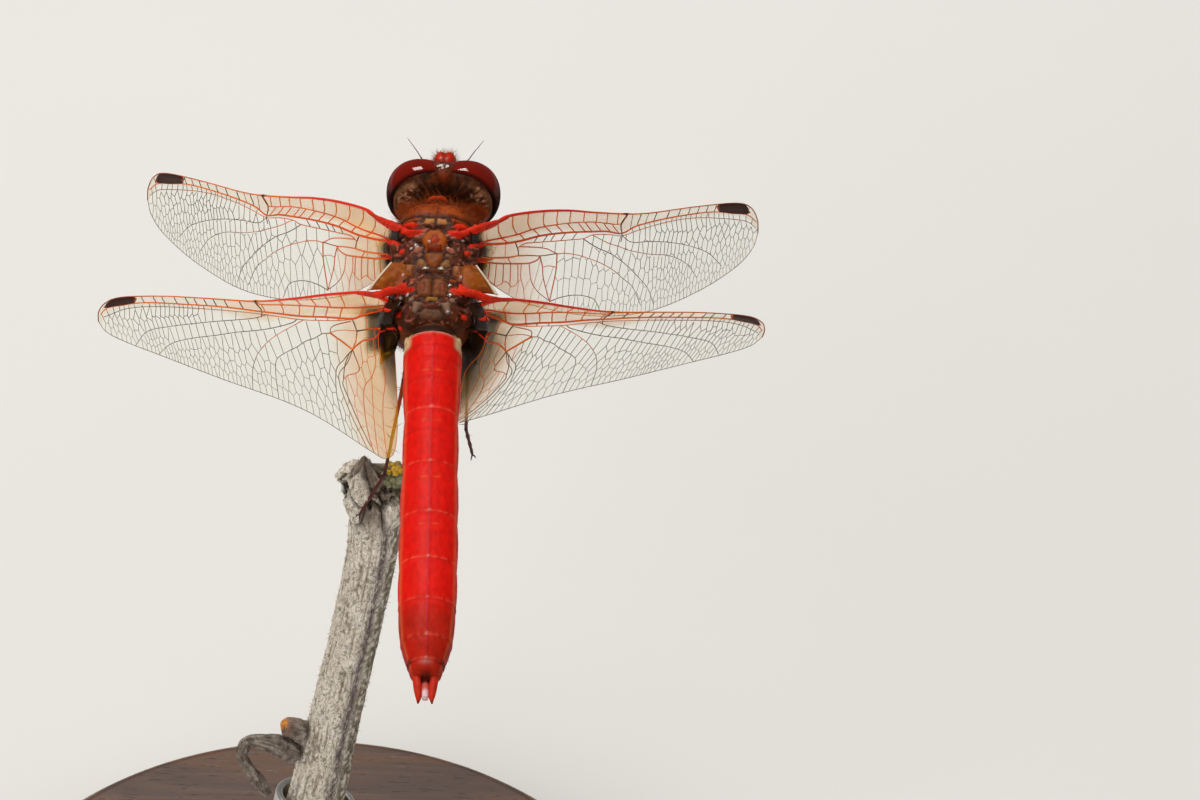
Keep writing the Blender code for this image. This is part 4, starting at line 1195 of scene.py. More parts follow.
def paint_thorax(points, normals):
    """Colour and relief of the trunk behind the head."""
    x, y, z = points.T
    mottle = cloud(points, 1.6, 2.0)
    fine = cloud(points, 5.5, 7.0)
    side = smooth(0.35, 0.75, np.abs(normals[:, 0]))
    colour = np.tile((0.040, 0.013, 0.007), (len(points), 1))
    relief = 0.03 * fine * (z > 2.0)
    colour = tint(colour, smooth(2.2, 1.6, z), (0.115, 0.030, 0.011))
    violet = smooth(1.0, 1.3, np.abs(x)) * smooth(2.3, 1.9, np.abs(x)) * smooth(2.2, 2.5, z)
    colour = tint(colour, violet * smooth(0.2, 0.5, mottle + 0.5) * 0.5, (0.060, 0.022, 0.018))
    sheen_folds = smooth(0.16, 0.02, np.abs(cloud(points, 2.3, 14.0))) * smooth(2.3, 2.6, z) * smooth(3.1, 2.8, y)
    # The pink tint on the folds is painted sheen; the folds' relief is their own.
    colour = tint(colour, sheen_folds * smooth(-0.2, 0.3, fine) * 0.85, (0.42, 0.125, 0.080))
    relief += 0.035 * sheen_folds
    front = smooth(3.25, 3.7, y) * (1 - smooth(4.98, 5.08, y) * (z > 1.0))
    colour = tint(colour, front, (0.290, 0.046, 0.006))
    colour = tint(colour, front * smooth(0.1, 0.5, mottle) * 0.6, (0.40, 0.070, 0.008))
    colour = tint(colour, front * smooth(1.3, 2.0, np.abs(x)) * smooth(4.6, 4.1, y) * 0.5, (0.16, 0.070, 0.016))
    colour = tint(colour, front * smooth(0.10, 0.03, np.abs(x - 0.05)) * 0.55, (0.045, 0.014, 0.010))
    for reach, depth in ((4.35, 0.10), (4.85, 0.08)):
        arc = hump(y + 0.16 * x * x, reach, 0.06) * front * (z > 0.8)
        colour = tint(colour, arc * 0.65, (0.085, 0.016, 0.005))
        relief -= depth * 0.5 * arc
    relief += front * 0.10 * hump(x, 0, 0.10) * (z > 0)
    lobe = smooth(0.64, 0.48, np.abs(x)) * smooth(5.02, 5.12, y) * smooth(5.95, 5.6, y) * smooth(1.0, 1.7, z)
    colour = tint(colour, lobe, (0.52, 0.040, 0.008))
    relief -= 0.05 * lobe * hump(x, 0, 0.12)
    for start, lean in ((3.0, -0.28), (1.1, -0.30), (-1.3, -0.34)):
        seam = y - (start + lean * (2.0 - z))
        band = hump(seam, 0, 0.06) * side * smooth(2.3, 1.9, z)
        relief -= 0.06 * band
        colour = tint(colour, hump(seam, 0, 0.13) * side * smooth(2.3, 1.9, z) * 0.85, (0.018, 0.008, 0.005))
        pale = hump(seam, 0.42, 0.22) * side * smooth(2.1, 1.5, z)
        colour = tint(colour, pale * 0.55, (0.36, 0.15, 0.045))
    collar = hump(y, 2.50, 0.09) * smooth(0.75, 0.5, np.abs(x)) * (z > 2)
    relief -= 0.16 * collar
    colour = tint(colour, collar, (0.006, 0.004, 0.004))
    pit = dab(np.abs(x), 0.90, 0.22, y, 1.32, 0.20) * (z > 2)
    pit += dab(np.abs(x), 2.0, 0.30, y, 0.45, 0.18) * (z > 2)
    pit += dab(np.abs(x), 1.7, 0.30, y, -2.75, 0.20) * (z > 2)
    gap = hump(y, -0.82, 0.12) * smooth(1.0, 0.7, np.abs(x)) * (z > 2)
    relief -= 0.14 * pit + 0.10 * gap
    colour = tint(colour, np.clip(1.5 * pit + gap, 0, 1), (0.008, 0.004, 0.003))
    colour, relief = paint_back(points, normals, colour, relief)
    ridge = hump(x, 0, 0.03) * smooth(-1.2, -1.3, y) * smooth(-2.5, -2.4, y) * (z > 2)
    colour = tint(colour, ridge * 0.8, (0.015, 0.006, 0.004))
    for path, radii in root_paths:
        width = np.interp(np.linspace(0, 1, len(path)), np.linspace(0, 1, len(radii)), radii)
        near = np.full(len(points), 9.0)
        for place, radius in zip(path, width):
            near = np.minimum(near, np.linalg.norm(points - place, axis=1) - radius)
        band = smooth(0.16, 0.04, near)
        tone = np.array((0.62, 0.022, 0.009)) * (1 + 0.35 * mottle[:, None])
        colour = colour + (np.clip(tone, 0, 1) - colour) * band[:, None]
    return colour * (1 + 0.22 * fine)[:, None], relief


thorax_colour, thorax_relief = paint_thorax(trunk_points, trunk_normals)
print("relief of the thorax", thorax_relief.min().round(2), "to", thorax_relief.max().round(2), "mm")

# %% Colour and relief of the head


def paint_head(points):
    """Colour and relief of the head, from places in the head's frame."""
    x, y, z = points.T
    mottle = cloud(points, 1.8, 3.0)
    fine = cloud(points, 6.0, 8.0)
    colour = np.tile((0.026, 0.009, 0.005), (len(points), 1))
    relief = 0.018 * fine
    back = smooth(-0.45, -0.8, y + 0.22 * np.abs(x))
    spoke = np.arctan2(z - 0.1, x)
    radial = cloud(np.stack([np.cos(spoke) * 5, np.sin(spoke) * 5, np.hypot(x, z) * 0.35], 1), 2.2, 5.0)
    tan = back * smooth(-0.05, 0.25, radial) * smooth(1.3, 2.0, np.abs(x))
    colour = tint(colour, tan * 0.95, (0.40, 0.190, 0.095))
    colour = tint(colour, back * smooth(0.1, 0.4, radial) * smooth(2.0, 1.2, np.abs(x)) * 0.8, (0.110, 0.038, 0.014))
    colour = tint(colour, back * smooth(0.25, 0.5, fine) * smooth(1.2, 1.9, np.abs(x)) * 0.85, (0.74, 0.46, 0.31))
    colour = tint(colour, back * smooth(0.3, -0.3, z) * 0.6, (0.16, 0.045, 0.015))
    relief += 0.03 * radial * back
    rim = hump(np.hypot(x / 3.0, (z - 0.1) / 1.9), 0.93, 0.05) * smooth(-0.5, -0.9, y)
    colour = tint(colour, rim * smooth(1.0, 2.2, np.abs(x)) * 0.55, (0.26, 0.12, 0.05))
    hollow = smooth(-0.7, -1.0, y) * (1 - np.clip(np.hypot(x / 2.6, (z - 0.1) / 1.7), 0, 1) ** 2)
    relief -= 0.22 * hollow
    shield = smooth(0.78, 0.62, np.abs(x)) * smooth(-1.0, -0.8, y) * smooth(0.85, 0.7, y) * smooth(1.4, 1.65, z)
    colour = tint(colour, shield, (0.080, 0.016, 0.004))
    colour = tint(colour, shield * hump(np.hypot(x * 1.2, y + 0.66), 0, 0.18), (0.22, 0.026, 0.005))
    crown = smooth(0.30, 0.15, np.abs(y - 0.72)) * smooth(0.75, 0.6, np.abs(x)) * smooth(1.2, 1.5, z)
    colour = tint(colour, crown, (0.20, 0.016, 0.007))
    face = smooth(0.95, 1.25, y + 0.12 * (z - 0.5)) * smooth(1.45, 1.25, np.abs(x))
    colour = tint(colour, face * smooth(-0.3, 0.1, z) * (1 - crown), (0.54, 0.016, 0.005))
    colour = tint(colour, face * smooth(0.1, -0.3, z), (0.42, 0.085, 0.025))
    lip = hump(z, -0.62, 0.05) * face
    relief -= 0.07 * lip
    colour = tint(colour, lip * 0.8, (0.05, 0.012, 0.005))
    notch = hump(x, 0, 0.10) * face * smooth(0.2, 0.6, z)
    colour = tint(colour, notch * 0.45, (0.22, 0.008, 0.004))
    # Painted highlights: two small pink dots on the frons.
    for px in (-0.22, 0.10):
        dot = dab(x, px, 0.07, y, 1.44, 0.10) * smooth(1.0, 1.2, z)
        colour = tint(colour, dot * 0.95, (0.72, 0.30, 0.30))
        relief += 0.04 * dot
    corner = dab(np.abs(x), 1.28, 0.16, z, 0.75, 0.3) * smooth(0.8, 1.1, y)
    colour = tint(colour, corner * 0.8, (0.62, 0.36, 0.05))
    return colour * (1 + 0.25 * mottle + 0.15 * fine)[:, None], relief


head_matrix = np.array(HEAD.inverted() @ BODY)
trunk_in_head = trunk_points @ head_matrix[:3, :3].T + head_matrix[:3, 3]
normals_in_head = trunk_normals @ head_matrix[:3, :3].T
is_head = smooth(5.75, 5.95, trunk_points[:, 1])
head_colour, head_relief = paint_head(trunk_in_head)
print("the head takes", int(is_head.sum()), "points of the trunk, relief", head_relief.min().round(2), "to",
      head_relief.max().round(2), "mm")


# %% [markdown]
# The abdomen is ten rings long. Its skin is drawn as one loft: every ring swells a little and its rear edge
# overlaps the next, a fine keel runs along the back, and the side edges of the back plates stand out as rims.

# %% The abdomen's loft
SEGMENT_ENDS = (-0.75, 0.0, 2.1, 5.6, 9.5, 13.1, 16.4, 19.3, 21.75, 23.25, 24.05)
SEGMENT_WIDTHS = (1.25, 1.52, 1.55, 1.44, 1.47, 1.52, 1.53, 1.50, 1.33, 0.93, 0.69)
SEGMENT_HEIGHTS = (1.10, 1.40, 1.50, 1.25, 1.18, 1.20, 1.22, 1.20, 1.08, 0.85, 0.68)
ABDOMEN_SIDES = 108
ROW_STEP = 0.11
NO_JOINT = 9.0


def abdomen_shell():
    """Points and faces of the abdomen: a loft whose rings swell a little between the joints."""
    ends = np.array(SEGMENT_ENDS)
    along = np.arange(-1.15, SEGMENT_ENDS[-1] + 0.001, ROW_STEP)
    width = np.interp(along, ends, SEGMENT_WIDTHS)
    height = np.interp(along, ends, SEGMENT_HEIGHTS)
    segment = np.clip(np.searchsorted(ends, along, side="right") - 1, 0, len(ends) - 2)
    share = (along - ends[segment]) / (ends[segment + 1] - ends[segment])
    swell = 1 + 0.05 * np.sin(np.pi * np.clip(share, 0, 1)) ** 0.7
    first = along < 0
    swell[first] = 1
    angle = np.linspace(0, 2 * math.pi, ABDOMEN_SIDES, endpoint=False)
    rings = []
    for place, half, top, grow in zip(along, width, height, swell):
        half, top = half * grow, top * grow
        x = half * powered(np.cos(angle), 2 / np.where(np.sin(angle) > 0, 2.1, 2.3))
        middle_z, half_z = top * 0.05, top * 0.95
        z = middle_z + half_z * powered(np.sin(angle), 2 / np.where(np.sin(angle) > 0, 2.1, 2.3))
        rings.append(np.stack([x, np.full(len(x), -place), z], 1))
    rings = np.array(rings)
    for row in range(3):
        rings[-1 - row, :, (0, 2)] *= (0.55, 0.86, 0.97)[row]
    points, faces = wrap_rings(rings)
    return points, faces


def paint_abdomen(points, normals):
    """Colour and relief of the abdomen, from places in its frame."""
    x, y, z = points.T
    along = -y
    ends = np.array(SEGMENT_ENDS)
    half = np.interp(along, ends, SEGMENT_WIDTHS)
    across = x / half
    top = smooth(-0.05, 0.15, normals[:, 2])
    mottle = cloud(points, 0.9, 1.0)
    fine = cloud(points * (1, 0.6, 1), 4.5, 6.0)
    past = along[:, None] - ends[None, 1:-1]
    behind_joint = np.min(np.where(past >= 0, past, NO_JOINT), axis=1)
    ahead_joint = np.min(np.where(past <= 0, -past, NO_JOINT), axis=1)
    colour = np.tile((0.72, 0.0065, 0.0030), (len(points), 1))
    colour = tint(colour, smooth(-0.1, 0.5, mottle) * 0.5, (0.56, 0.0035, 0.0030))
    colour = tint(colour, smooth(18.5, 21.0, along), (0.44, 0.012, 0.0045))
    # Painted shade: the abdomen darkens where its surface faces down.
    colour = tint(colour, smooth(0.1, -0.5, normals[:, 2]) * 0.6, (0.33, 0.016, 0.006))
    relief = 0.012 * fine + 0.03 * hump(x, 0, 0.09) * top
    relief -= 0.030 * hump(behind_joint, 0, 0.10)
    relief += 0.045 * hump(ahead_joint, 0, 0.22) * smooth(15.0, 19.0, along) * np.abs(across)
    hooped = hump(along, 3.55, 0.07) + hump(along, 7.2, 0.06) + hump(along, 1.15, 0.06)
    relief -= 0.022 * hooped * top
    colour = tint(colour, np.clip(hooped, 0, 1) * top * 0.35, (0.30, 0.006, 0.006))
    joint = hump(behind_joint, 0, 0.12)
    colour = tint(colour, joint * 0.22, (0.34, 0.008, 0.006))
    pale_ring = hump(ahead_joint, 0.06, 0.06) * (along > 2.3) * smooth(-0.5, 0.2, fine)
    colour = tint(colour, pale_ring * 0.40 * top, (0.84, 0.13, 0.08))
    keel = hump(x, 0.02, 0.045) * top * smooth(0.6, 2.6, along)
    patchy = smooth(-0.3, 0.25, fine)
    colour = tint(colour, keel * (0.4 + 0.4 * patchy), (0.40, 0.012, 0.030))
    midline = hump(x, 0.01, 0.08) * top * hump(ahead_joint, 0.06, 0.08) * (along > 2.3)
    colour = tint(colour, midline * 0.8, (0.74, 0.26, 0.22))
    relief += 0.03 * midline
    for spot in (3.0, 6.5, 10.6, 14.0):
        pair = dab(np.abs(x), 0.34, 0.17, along, spot, 0.05) * top
        colour = tint(colour, pair * 0.35, (0.76, 0.22, 0.03))
        relief -= 0.02 * pair
    rim = hump(np.abs(across), 0.93, 0.035) * smooth(-0.1, 0.1, z) * smooth(1.0, 2.0, along)
    relief += 0.04 * rim
    colour = tint(colour, rim * 0.45, (0.62, 0.15, 0.04))
    first = smooth(0.18, 0.05, along)
    colour = tint(colour, first, (0.085, 0.030, 0.014))
    colour = tint(colour, first * smooth(-0.75, -0.45, along), (0.020, 0.008, 0.005))
    arc = hump(along - 0.16, 0.10 * across ** 2, 0.08) * smooth(0.95, 0.7, np.abs(across)) * top
    colour = tint(colour, arc * 0.95, (0.56, 0.24, 0.17))
    relief += 0.05 * arc
    dark_arc = hump(along, 0.04, 0.06) * top
    colour = tint(colour, dark_arc * 0.8, (0.012, 0.006, 0.005))
    relief -= 0.07 * dark_arc
    patch = smooth(0.70, 0.90, np.abs(across)) * smooth(-0.2, 0.0, along) * smooth(1.2, 0.8, along)
    colour = tint(colour, patch, (0.62, 0.42, 0.22))
    tail = smooth(23.2, 24.0, along)
    colour = tint(colour, tail * 0.45, (0.36, 0.024, 0.008))
    grey = dab(along, 23.40, 0.16, x, 0, 0.30) * top
    colour = tint(colour, grey * 0.75, (0.42, 0.17, 0.14))
    # Painted shade: dark corners at the sides of the ninth ring's rear edge and in the notch at the tail's end.
    corner = hump(along, 23.2, 0.16) * smooth(0.55, 0.95, np.abs(across))
    corner += smooth(0.32, 0.20, np.abs(x)) * smooth(23.85, 24.0, along)
    colour = tint(colour, np.clip(corner, 0, 1) * 0.85, (0.035, 0.006, 0.005))
    return colour * (1 + 0.16 * mottle + 0.20 * fine)[:, None], relief


def surface_normals(points, faces):
    """Even normals at the points of a surface."""
    normals = np.zeros_like(points)
    for count in (3, 4):
        ring = np.array([face for face in faces if len(face) == count])
        if len(ring):
            a, b, c = (points[ring[:, k]] for k in (0, 1, 2))
            square = np.cross(b - a, c - a) if count == 3 else np.cross(c - a, points[ring[:, 3]] - b)
            for k in range(count):
                np.add.at(normals, ring[:, k], square)
    return normals / np.maximum(np.linalg.norm(normals, axis=1, keepdims=True), 1e-12)


abdomen_points, abdomen_faces = abdomen_shell()
abdomen_normals = surface_normals(abdomen_points, abdomen_faces)
if (abdomen_normals * (abdomen_points - (0, -10, 0)) * (1, 0, 1)).sum() < 0:
    abdomen_normals = -abdomen_normals
abdomen_colour, abdomen_relief = paint_abdomen(abdomen_points, abdomen_normals)
abdomen_points = abdomen_points + abdomen_normals * abdomen_relief[:, None]
print("abdomen", SEGMENT_ENDS[-1], "mm long,", len(SEGMENT_ENDS) - 1, "rings,", len(abdomen_points), "points")

# %% The appendages at the tail
TAIL = SEGMENT_ENDS[-1]
tail_shells = [tube_shell(((s * 0.32, -TAIL + 0.7, 0.12), (s * 0.43, -TAIL, 0.12), (s * 0.40, -TAIL - 0.7, 0.12),
                           (s * 0.35, -TAIL - 1.2, 0.12), (s * 0.37, -TAIL - 1.68, 0.12)),
                          (0.22, 0.25, 0.215, 0.175, 0.04), 28, 10) for s in (-1, 1)]
for shell_points, _ in tail_shells:
    shell_points[:, 2] = 0.12 + (shell_points[:, 2] - 0.12) * 0.90
tail_shells.append(tube_shell(((0, -TAIL + 0.4, -0.14), (0, -TAIL - 0.6, 0.02), (0, -TAIL - 1.32, 0.10)),
                              (0.24, 0.22, 0.17), 28, 10))
TAIL_COLOURS = (*[(0.50, 0.024, 0.008)] * 2, (0.58, 0.090, 0.070), *[(0.54, 0.38, 0.21)] * 2)
tail_shells += [rounded_block((s * 1.40, -0.16, 0.45), (0.17, 0.36, 0.28), 2.1, 16, 28) for s in (-1, 1)]
tail_points, tail_faces = join_shells(tail_shells)
tail_colour = np.concatenate([np.tile(tone, (len(shell[0]), 1)) for tone, shell in zip(TAIL_COLOURS, tail_shells)])
dark_tips_and_notch_shade = 0.8 * smooth(-TAIL - 1.4, -TAIL - 1.65, tail_points[:, 1])
# Painted shade in the notch between the bases of the cerci; the dark tips of the cerci are their own colour.
dark_tips_and_notch_shade = dark_tips_and_notch_shade + smooth(0.34, 0.20, np.abs(tail_points[:, 0])) * smooth(-TAIL - 0.40, -TAIL - 0.15, tail_points[:, 1])
pale_tip = smooth(-TAIL - 0.65, -TAIL - 0.95, tail_points[:, 1]) * smooth(0.20, 0.15, np.abs(tail_points[:, 0]))
tail_colour = tint(tail_colour, pale_tip * 0.9, (0.80, 0.56, 0.60))
tail_colour = tint(tail_colour, dark_tips_and_notch_shade * 0.85, (0.06, 0.006, 0.004)) * (1 + 0.2 * cloud(tail_points, 5.0))[:, None]
print("tail:", len(tail_shells), "forms,", len(tail_points), "points")

# %% Paint and relief of the trunk
trunk_colour = thorax_colour + (head_colour - thorax_colour) * is_head[:, None]
trunk_relief = thorax_relief * (1 - is_head) + head_relief * is_head
# Small wet beads on the back glint white, and their pale middles are a painted highlight; the vertex between the eyes
# glints too
GLINT_BEADS = ((-0.95, 1.05), (-0.30, 1.30), (0.75, 0.98), (-1.75, 1.72), (1.55, 1.72), (-1.62, -0.90), (1.50, -0.95),
         (-1.70, -2.42), (-1.35, -2.32), (0.95, -1.65), (0.90, -3.40), (-1.05, 1.22), (-0.42, -0.5),
         (0.45, -0.5), (1.0, -2.30), (-1.28, 0.92))
BEAD_RADIUS = 0.10
trunk_wet = np.zeros_like(trunk_relief)
for bx, by in GLINT_BEADS:
    glint_bead = np.exp(-((trunk_points[:, 0] - bx) ** 2 + (trunk_points[:, 1] - by) ** 2) / BEAD_RADIUS ** 2)
    glint_bead *= trunk_points[:, 2] > 2.2
    trunk_relief += 0.09 * glint_bead
    trunk_wet += smooth(0.15, 0.5, glint_bead)
    # Painted highlight: the middle of each bead is painted pale.
    trunk_colour = tint(trunk_colour, smooth(0.45, 0.85, glint_bead) * 0.8, (0.80, 0.72, 0.66))
vertex_share = smooth(0.60, 0.75, trunk_in_head[:, 1] + 0.9) * smooth(0.75, 0.6, trunk_in_head[:, 1])
vertex_share *= smooth(0.7, 0.55, np.abs(trunk_in_head[:, 0])) * smooth(1.75, 1.95, trunk_in_head[:, 2])
trunk_wet = np.clip(trunk_wet + 0.6 * vertex_share, 0, 1)
trunk_points = trunk_points + trunk_normals * trunk_relief[:, None]
print("relief of the trunk", trunk_relief.min().round(2), "to", trunk_relief.max().round(2), "mm")

# %% Join trunk, abdomen and tail into one skin
skin_points, skin_faces = join_shells([(in_world(BODY, trunk_points), trunk_faces),
                                       (in_world(ABDOMEN, abdomen_points), abdomen_faces),
                                       (in_world(ABDOMEN, tail_points), tail_faces)])
skin_colour = np.concatenate([trunk_colour, abdomen_colour, tail_colour])
skin_part = np.concatenate([np.zeros(len(trunk_points)), np.ones(len(abdomen_points) + len(tail_points))])
skin = make_mesh("body_skin", skin_points, skin_faces)
add_paint(skin, skin_colour)
add_attribute(skin, "abdomen_share", skin_part)
add_attribute(skin, "wet", np.concatenate([trunk_wet, np.full(len(abdomen_points) + len(tail_points), 0.01)]))


def skin_finish():
    """Cuticle: painted plates under a waxy, finely pitted and wrinkled surface."""
    finish = Finish("cuticle", Coat_Roughness=0.12, Specular_IOR_Level=0.06)
    place = finish.place()
    paint = finish.attribute("paint", "Color")
    rear = finish.attribute("abdomen_share")
    mottle, fine = finish.grain(place, 2.6), finish.grain(place, 11.0, detail=2.0)
    worn = finish.blend(mottle.step(0.35, 0.75) * (0.35 - rear * 0.25), paint,
                        finish.blend(0.5, paint, (0.40, 0.080, 0.016)))
    colour = finish.blend(fine.step(0.55, 0.8) * 0.35, worn, finish.blend(0.65, worn, (0.012, 0.005, 0.003)))
    pits = finish.cells(finish.stretched(place, (1.0, 0.75, 1.0)), 7.5)
    relief = finish.bump(pits, 0.022, 0.45, finish.bump(fine, 0.014, 0.6))
    rough = finish.between(rear, 0.46, 0.52) + (mottle - 0.5) * 0.25
    return finish.wear(Base_Color=colour, Normal=relief, Roughness=rough, Coat_Weight=finish.attribute("wet"))


skin.data.materials.append(skin_finish())
flesh = ["head_capsule", "head_frons", "head_mouth", "head_occiput", "prothorax", "thorax", "cercus_left",
         "cercus_right", "epiproct", *[f"abdomen_{i:02d}" for i in range(1, 11)]]
settle(skin, flesh)

# %% [markdown]
# Behind each fore wing a soft flap joins the wing's rear corner to the body. It is tan and translucent, with a
# pale cord along its outer edge, and it covers the gap in front of the hind wing.

# %% The flaps behind the fore wings
FLAP_INNER = ((1.45, 0.05, 2.62), (1.35, -0.5, 2.70), (1.55, -1.15, 2.72), (1.80, -1.80, 2.62))
FLAP_OUTER = ((2.40, 0.20, 2.55), (2.82, -0.45, 2.52), (3.25, -1.08, 2.45), (3.62, -1.62, 2.33))
FLAP_COLUMNS = 26


def build_flap(side):
    """A thin arched sheet between its inner and outer edges, thicker along the outer cord."""
    inner, outer = (curve_through(edge, 10) * (side, 1, 1) for edge in (FLAP_INNER, FLAP_OUTER))
    across = np.linspace(0, 1, FLAP_COLUMNS)
    sheet = inner[:, None] + (outer - inner)[:, None] * across[:, None]
    sheet[..., 2] += 0.30 * np.sin(np.pi * across) * np.sin(np.pi * np.linspace(0.08, 0.92, len(inner)))[:, None]
    half = 0.025 + 0.06 * hump(across, 0.965, 0.04)
    lift = np.zeros_like(sheet)
    lift[..., 2] = half
    rows, columns = sheet.shape[:2]
    points, faces = closed_plate(sheet + lift, sheet - lift, rows, columns)
    flap = make_mesh("flap_left" if side < 0 else "flap_right", in_world(BODY, points), faces)
    share = np.tile(across, (rows, 1)).ravel()
    colour = np.tile((0.27, 0.066, 0.006), (len(share), 1))
    spots = cloud(sheet.reshape(-1, 3), 1.7, 3.0)
    colour = tint(colour, smooth(0.0, 0.4, spots) * 0.7, (0.15, 0.030, 0.006))
    colour = tint(colour, smooth(0.1, 0.5, cloud(sheet.reshape(-1, 3), 3.1, 8.0)) * 0.6, (0.42, 0.150, 0.030))
    colour = tint(colour, smooth(0.30, 0.10, share) * 0.6, (0.36, 0.11, 0.06))
    colour = tint(colour, smooth(0.86, 0.93, share), (0.70, 0.58, 0.42))
    colour = tint(colour, smooth(0.80, 0.85, share) * smooth(0.90, 0.86, share), (0.10, 0.03, 0.012))
    both = np.concatenate([colour, colour])
    add_paint(flap, both)
    add_attribute(flap, "abdomen_share", np.zeros(len(both)))
    add_attribute(flap, "wet", np.zeros(len(both)))
    flap.data.materials.append(skin.data.materials[0])
    return flap


for side in (-1, 1):
    settle(build_flap(side), [])

# %% [markdown]
# A dragonfly's eyes wrap the head like a helmet. Each is one glassy lobe of thousands of facets, and the two
# meet along the midline. They are drawn as two caps cut from rounded blocks, with the rim rolled inwards.

# %% The eyes
EYE_SPLIT = 0.035
EYE_RIM_MIDDLE, EYE_RIM_SLANT = -0.25, 0.27
EYE_SHELL = 0.30
EYE_WELD = 0.004


def eye_finish():
    """Deep glassy red above, with painted shade below and behind, over a fine net of facets."""
    finish = Finish("eye", roughness=0.3, Coat_Roughness=0.035, Coat_IOR=1.38, Specular_IOR_Level=0.0)
    place = finish.place()
    # The eye_shade attribute is painted shade: the eye goes nearly black below and behind.
    dark = finish.attribute("eye_shade")
    mottle = finish.grain(place, 1.3)
    crown = finish.blend(mottle, (0.235, 0.0085, 0.0016), (0.135, 0.0048, 0.0012))
    colour = finish.blend(dark, crown, (0.0125, 0.0045, 0.0040))
    facet = finish.cells(place, 17.0)
    glow = finish.blend(facet.step(0.1, 0.5) * 0.30, colour, finish.blend(0.5, colour, (0.004, 0.001, 0.001)))
    relief = finish.bump(facet, 0.006, 0.25)
    edge_on = finish.node("ShaderNodeLayerWeight", inputs={"Blend": 0.5}, output=1)
    gloss = (0.74 - dark * 0.62) * (1 - edge_on.step(0.45, 0.90) * 0.9)
    return finish.wear(Base_Color=glow, Normal=relief, Coat_Weight=gloss, Roughness=finish.between(mottle, 0.10, 0.24))


def in_fixed_order(points, faces):
    """The same shape with its points and faces in an order that stays the same from run to run."""
    order = np.lexsort(points.T)
    rank = np.argsort(order).tolist()
    return points[order], sorted(tuple(rank[k] for k in face) for face in faces)


def build_eye(side):
    """One eye as a closed cap, cut at the midline and at the rear rim."""
    points, faces = rounded_block(np.array(EYE_CENTRE) * (side, 1, 1), EYE_RADII, EYE_SQUARENESS, 96, 144)
    lobe = make_mesh(f"lobe_{side}", points, faces)
    cap = bmesh.new()
    cap.from_mesh(lobe.data)
    bpy.data.objects.remove(lobe)
    rear_normal = Vector((EYE_RIM_SLANT * side, 1, 0)).normalized()
    rear_point = Vector((0, EYE_RIM_MIDDLE, 0))
    for point, normal in ((Vector((side * EYE_SPLIT, 0, 0)), Vector((side, 0, 0))), (rear_point, rear_normal)):
        whole = cap.verts[:] + cap.edges[:] + cap.faces[:]
        bmesh.ops.bisect_plane(cap, geom=whole, plane_co=point, plane_no=normal, clear_inner=True)
    bmesh.ops.remove_doubles(cap, verts=cap.verts[:], dist=EYE_WELD)
    cap.normal_update()
    for vertex in cap.verts:
        to_rear = (vertex.co - rear_point).dot(rear_normal)
        to_split = abs(vertex.co.x) - EYE_SPLIT
        roll = 0.10 * float(smooth(0.22, 0.0, to_rear)) ** 2 + 0.05 * float(smooth(0.12, 0.0, to_split)) ** 2
        vertex.co -= vertex.normal * roll
    bmesh.ops.recalc_face_normals(cap, faces=cap.faces)
    bmesh.ops.solidify(cap, geom=cap.faces[:], thickness=EYE_SHELL)
    bmesh.ops.triangulate(cap, faces=[face for face in cap.faces if len(face.verts) > 4])
    shaped = bpy.data.meshes.new("cap")
    cap.to_mesh(shaped)
    cap.free()
    points = np.array([vertex.co for vertex in shaped.vertices])
    points, faces = in_fixed_order(points, [face.vertices for face in shaped.polygons])
    name = "eye_left" if side < 0 else "eye_right"
    piece = make_mesh(name + "_lobe", in_world(HEAD, points), faces)
    x, y, z = points.T
    # Painted shade: the eye darkens on its lower side and towards the rear rim.
    shade_below = smooth(1.35, -0.25, z + 0.1 * y - 0.1 * np.abs(x))
    shade_at_rim = smooth(0.30, 0.0, y - EYE_RIM_MIDDLE + EYE_RIM_SLANT * np.abs(x))
    add_attribute(piece, "eye_shade", np.clip(0.95 * shade_below + 0.9 * shade_at_rim, 0, 1))
    piece.data.materials.append(EYE)
    bpy.data.meshes.remove(shaped)
    return piece, name


EYE = eye_finish()
for side in (-1, 1):
    eye, eye_name = build_eye(side)
    settle(eye, [eye_name])

# %% [markdown]
# The legs of a dragonfly are a basket for catching midges: a stout thigh, a thin shin with two combs of long
# spines, and a foot of three short joints with a pair of claws. The antennae are mere bristles on two knobs.

# %% Legs and antennae
LEGS = {
    "leg_fore_left": ((-0.9, 3.9, -4.4), (-2.7, 4.5, -2.7), (-1.95, 5.2, -0.3), (-1.35, 5.4, 0.8)),
    "leg_fore_right": ((0.9, 3.9, -4.4), (2.7, 4.5, -2.7), (1.95, 5.2, -0.3), (1.35, 5.4, 0.8)),
    "leg_mid_left": ((-1.1, 2.5, -4.6), (-0.8, 1.2, -9.9), (-0.75, -3.9, -9.5), (-0.85, -5.1, -10.9)),
    "leg_mid_right": ((0.95, 2.6, -4.6), (0.1, 1.2, -10.7), (-0.55, -4.0, -11.4), (-0.95, -5.1, -12.8)),
    "leg_hind_left": ((-1.2, 0.9, -4.5), (-1.5, -3.1, -3.7), (-2.45, -6.25, -8.3), (-3.8, -7.55, -10.4)),
    "leg_hind_right": ((1.25, 0.8, -4.5), (1.9, 2.6, -8.6), (1.86, 1.25, -13.6), (2.27, 0.7, -15.3)),
}
FEMUR_SHAPE = (0.30, 0.33, 0.28, 0.22, 0.175, 0.15, 0.135)
TIBIA_SHAPE = (0.135, 0.115, 0.105, 0.10, 0.095, 0.095, 0.10)
TARSUS_SHAPE = (0.11, 0.085, 0.115, 0.08, 0.11, 0.08, 0.095, 0.06)
SPINE_SEED = 23
LEG_SIDES, LEG_STEPS = 18, 24


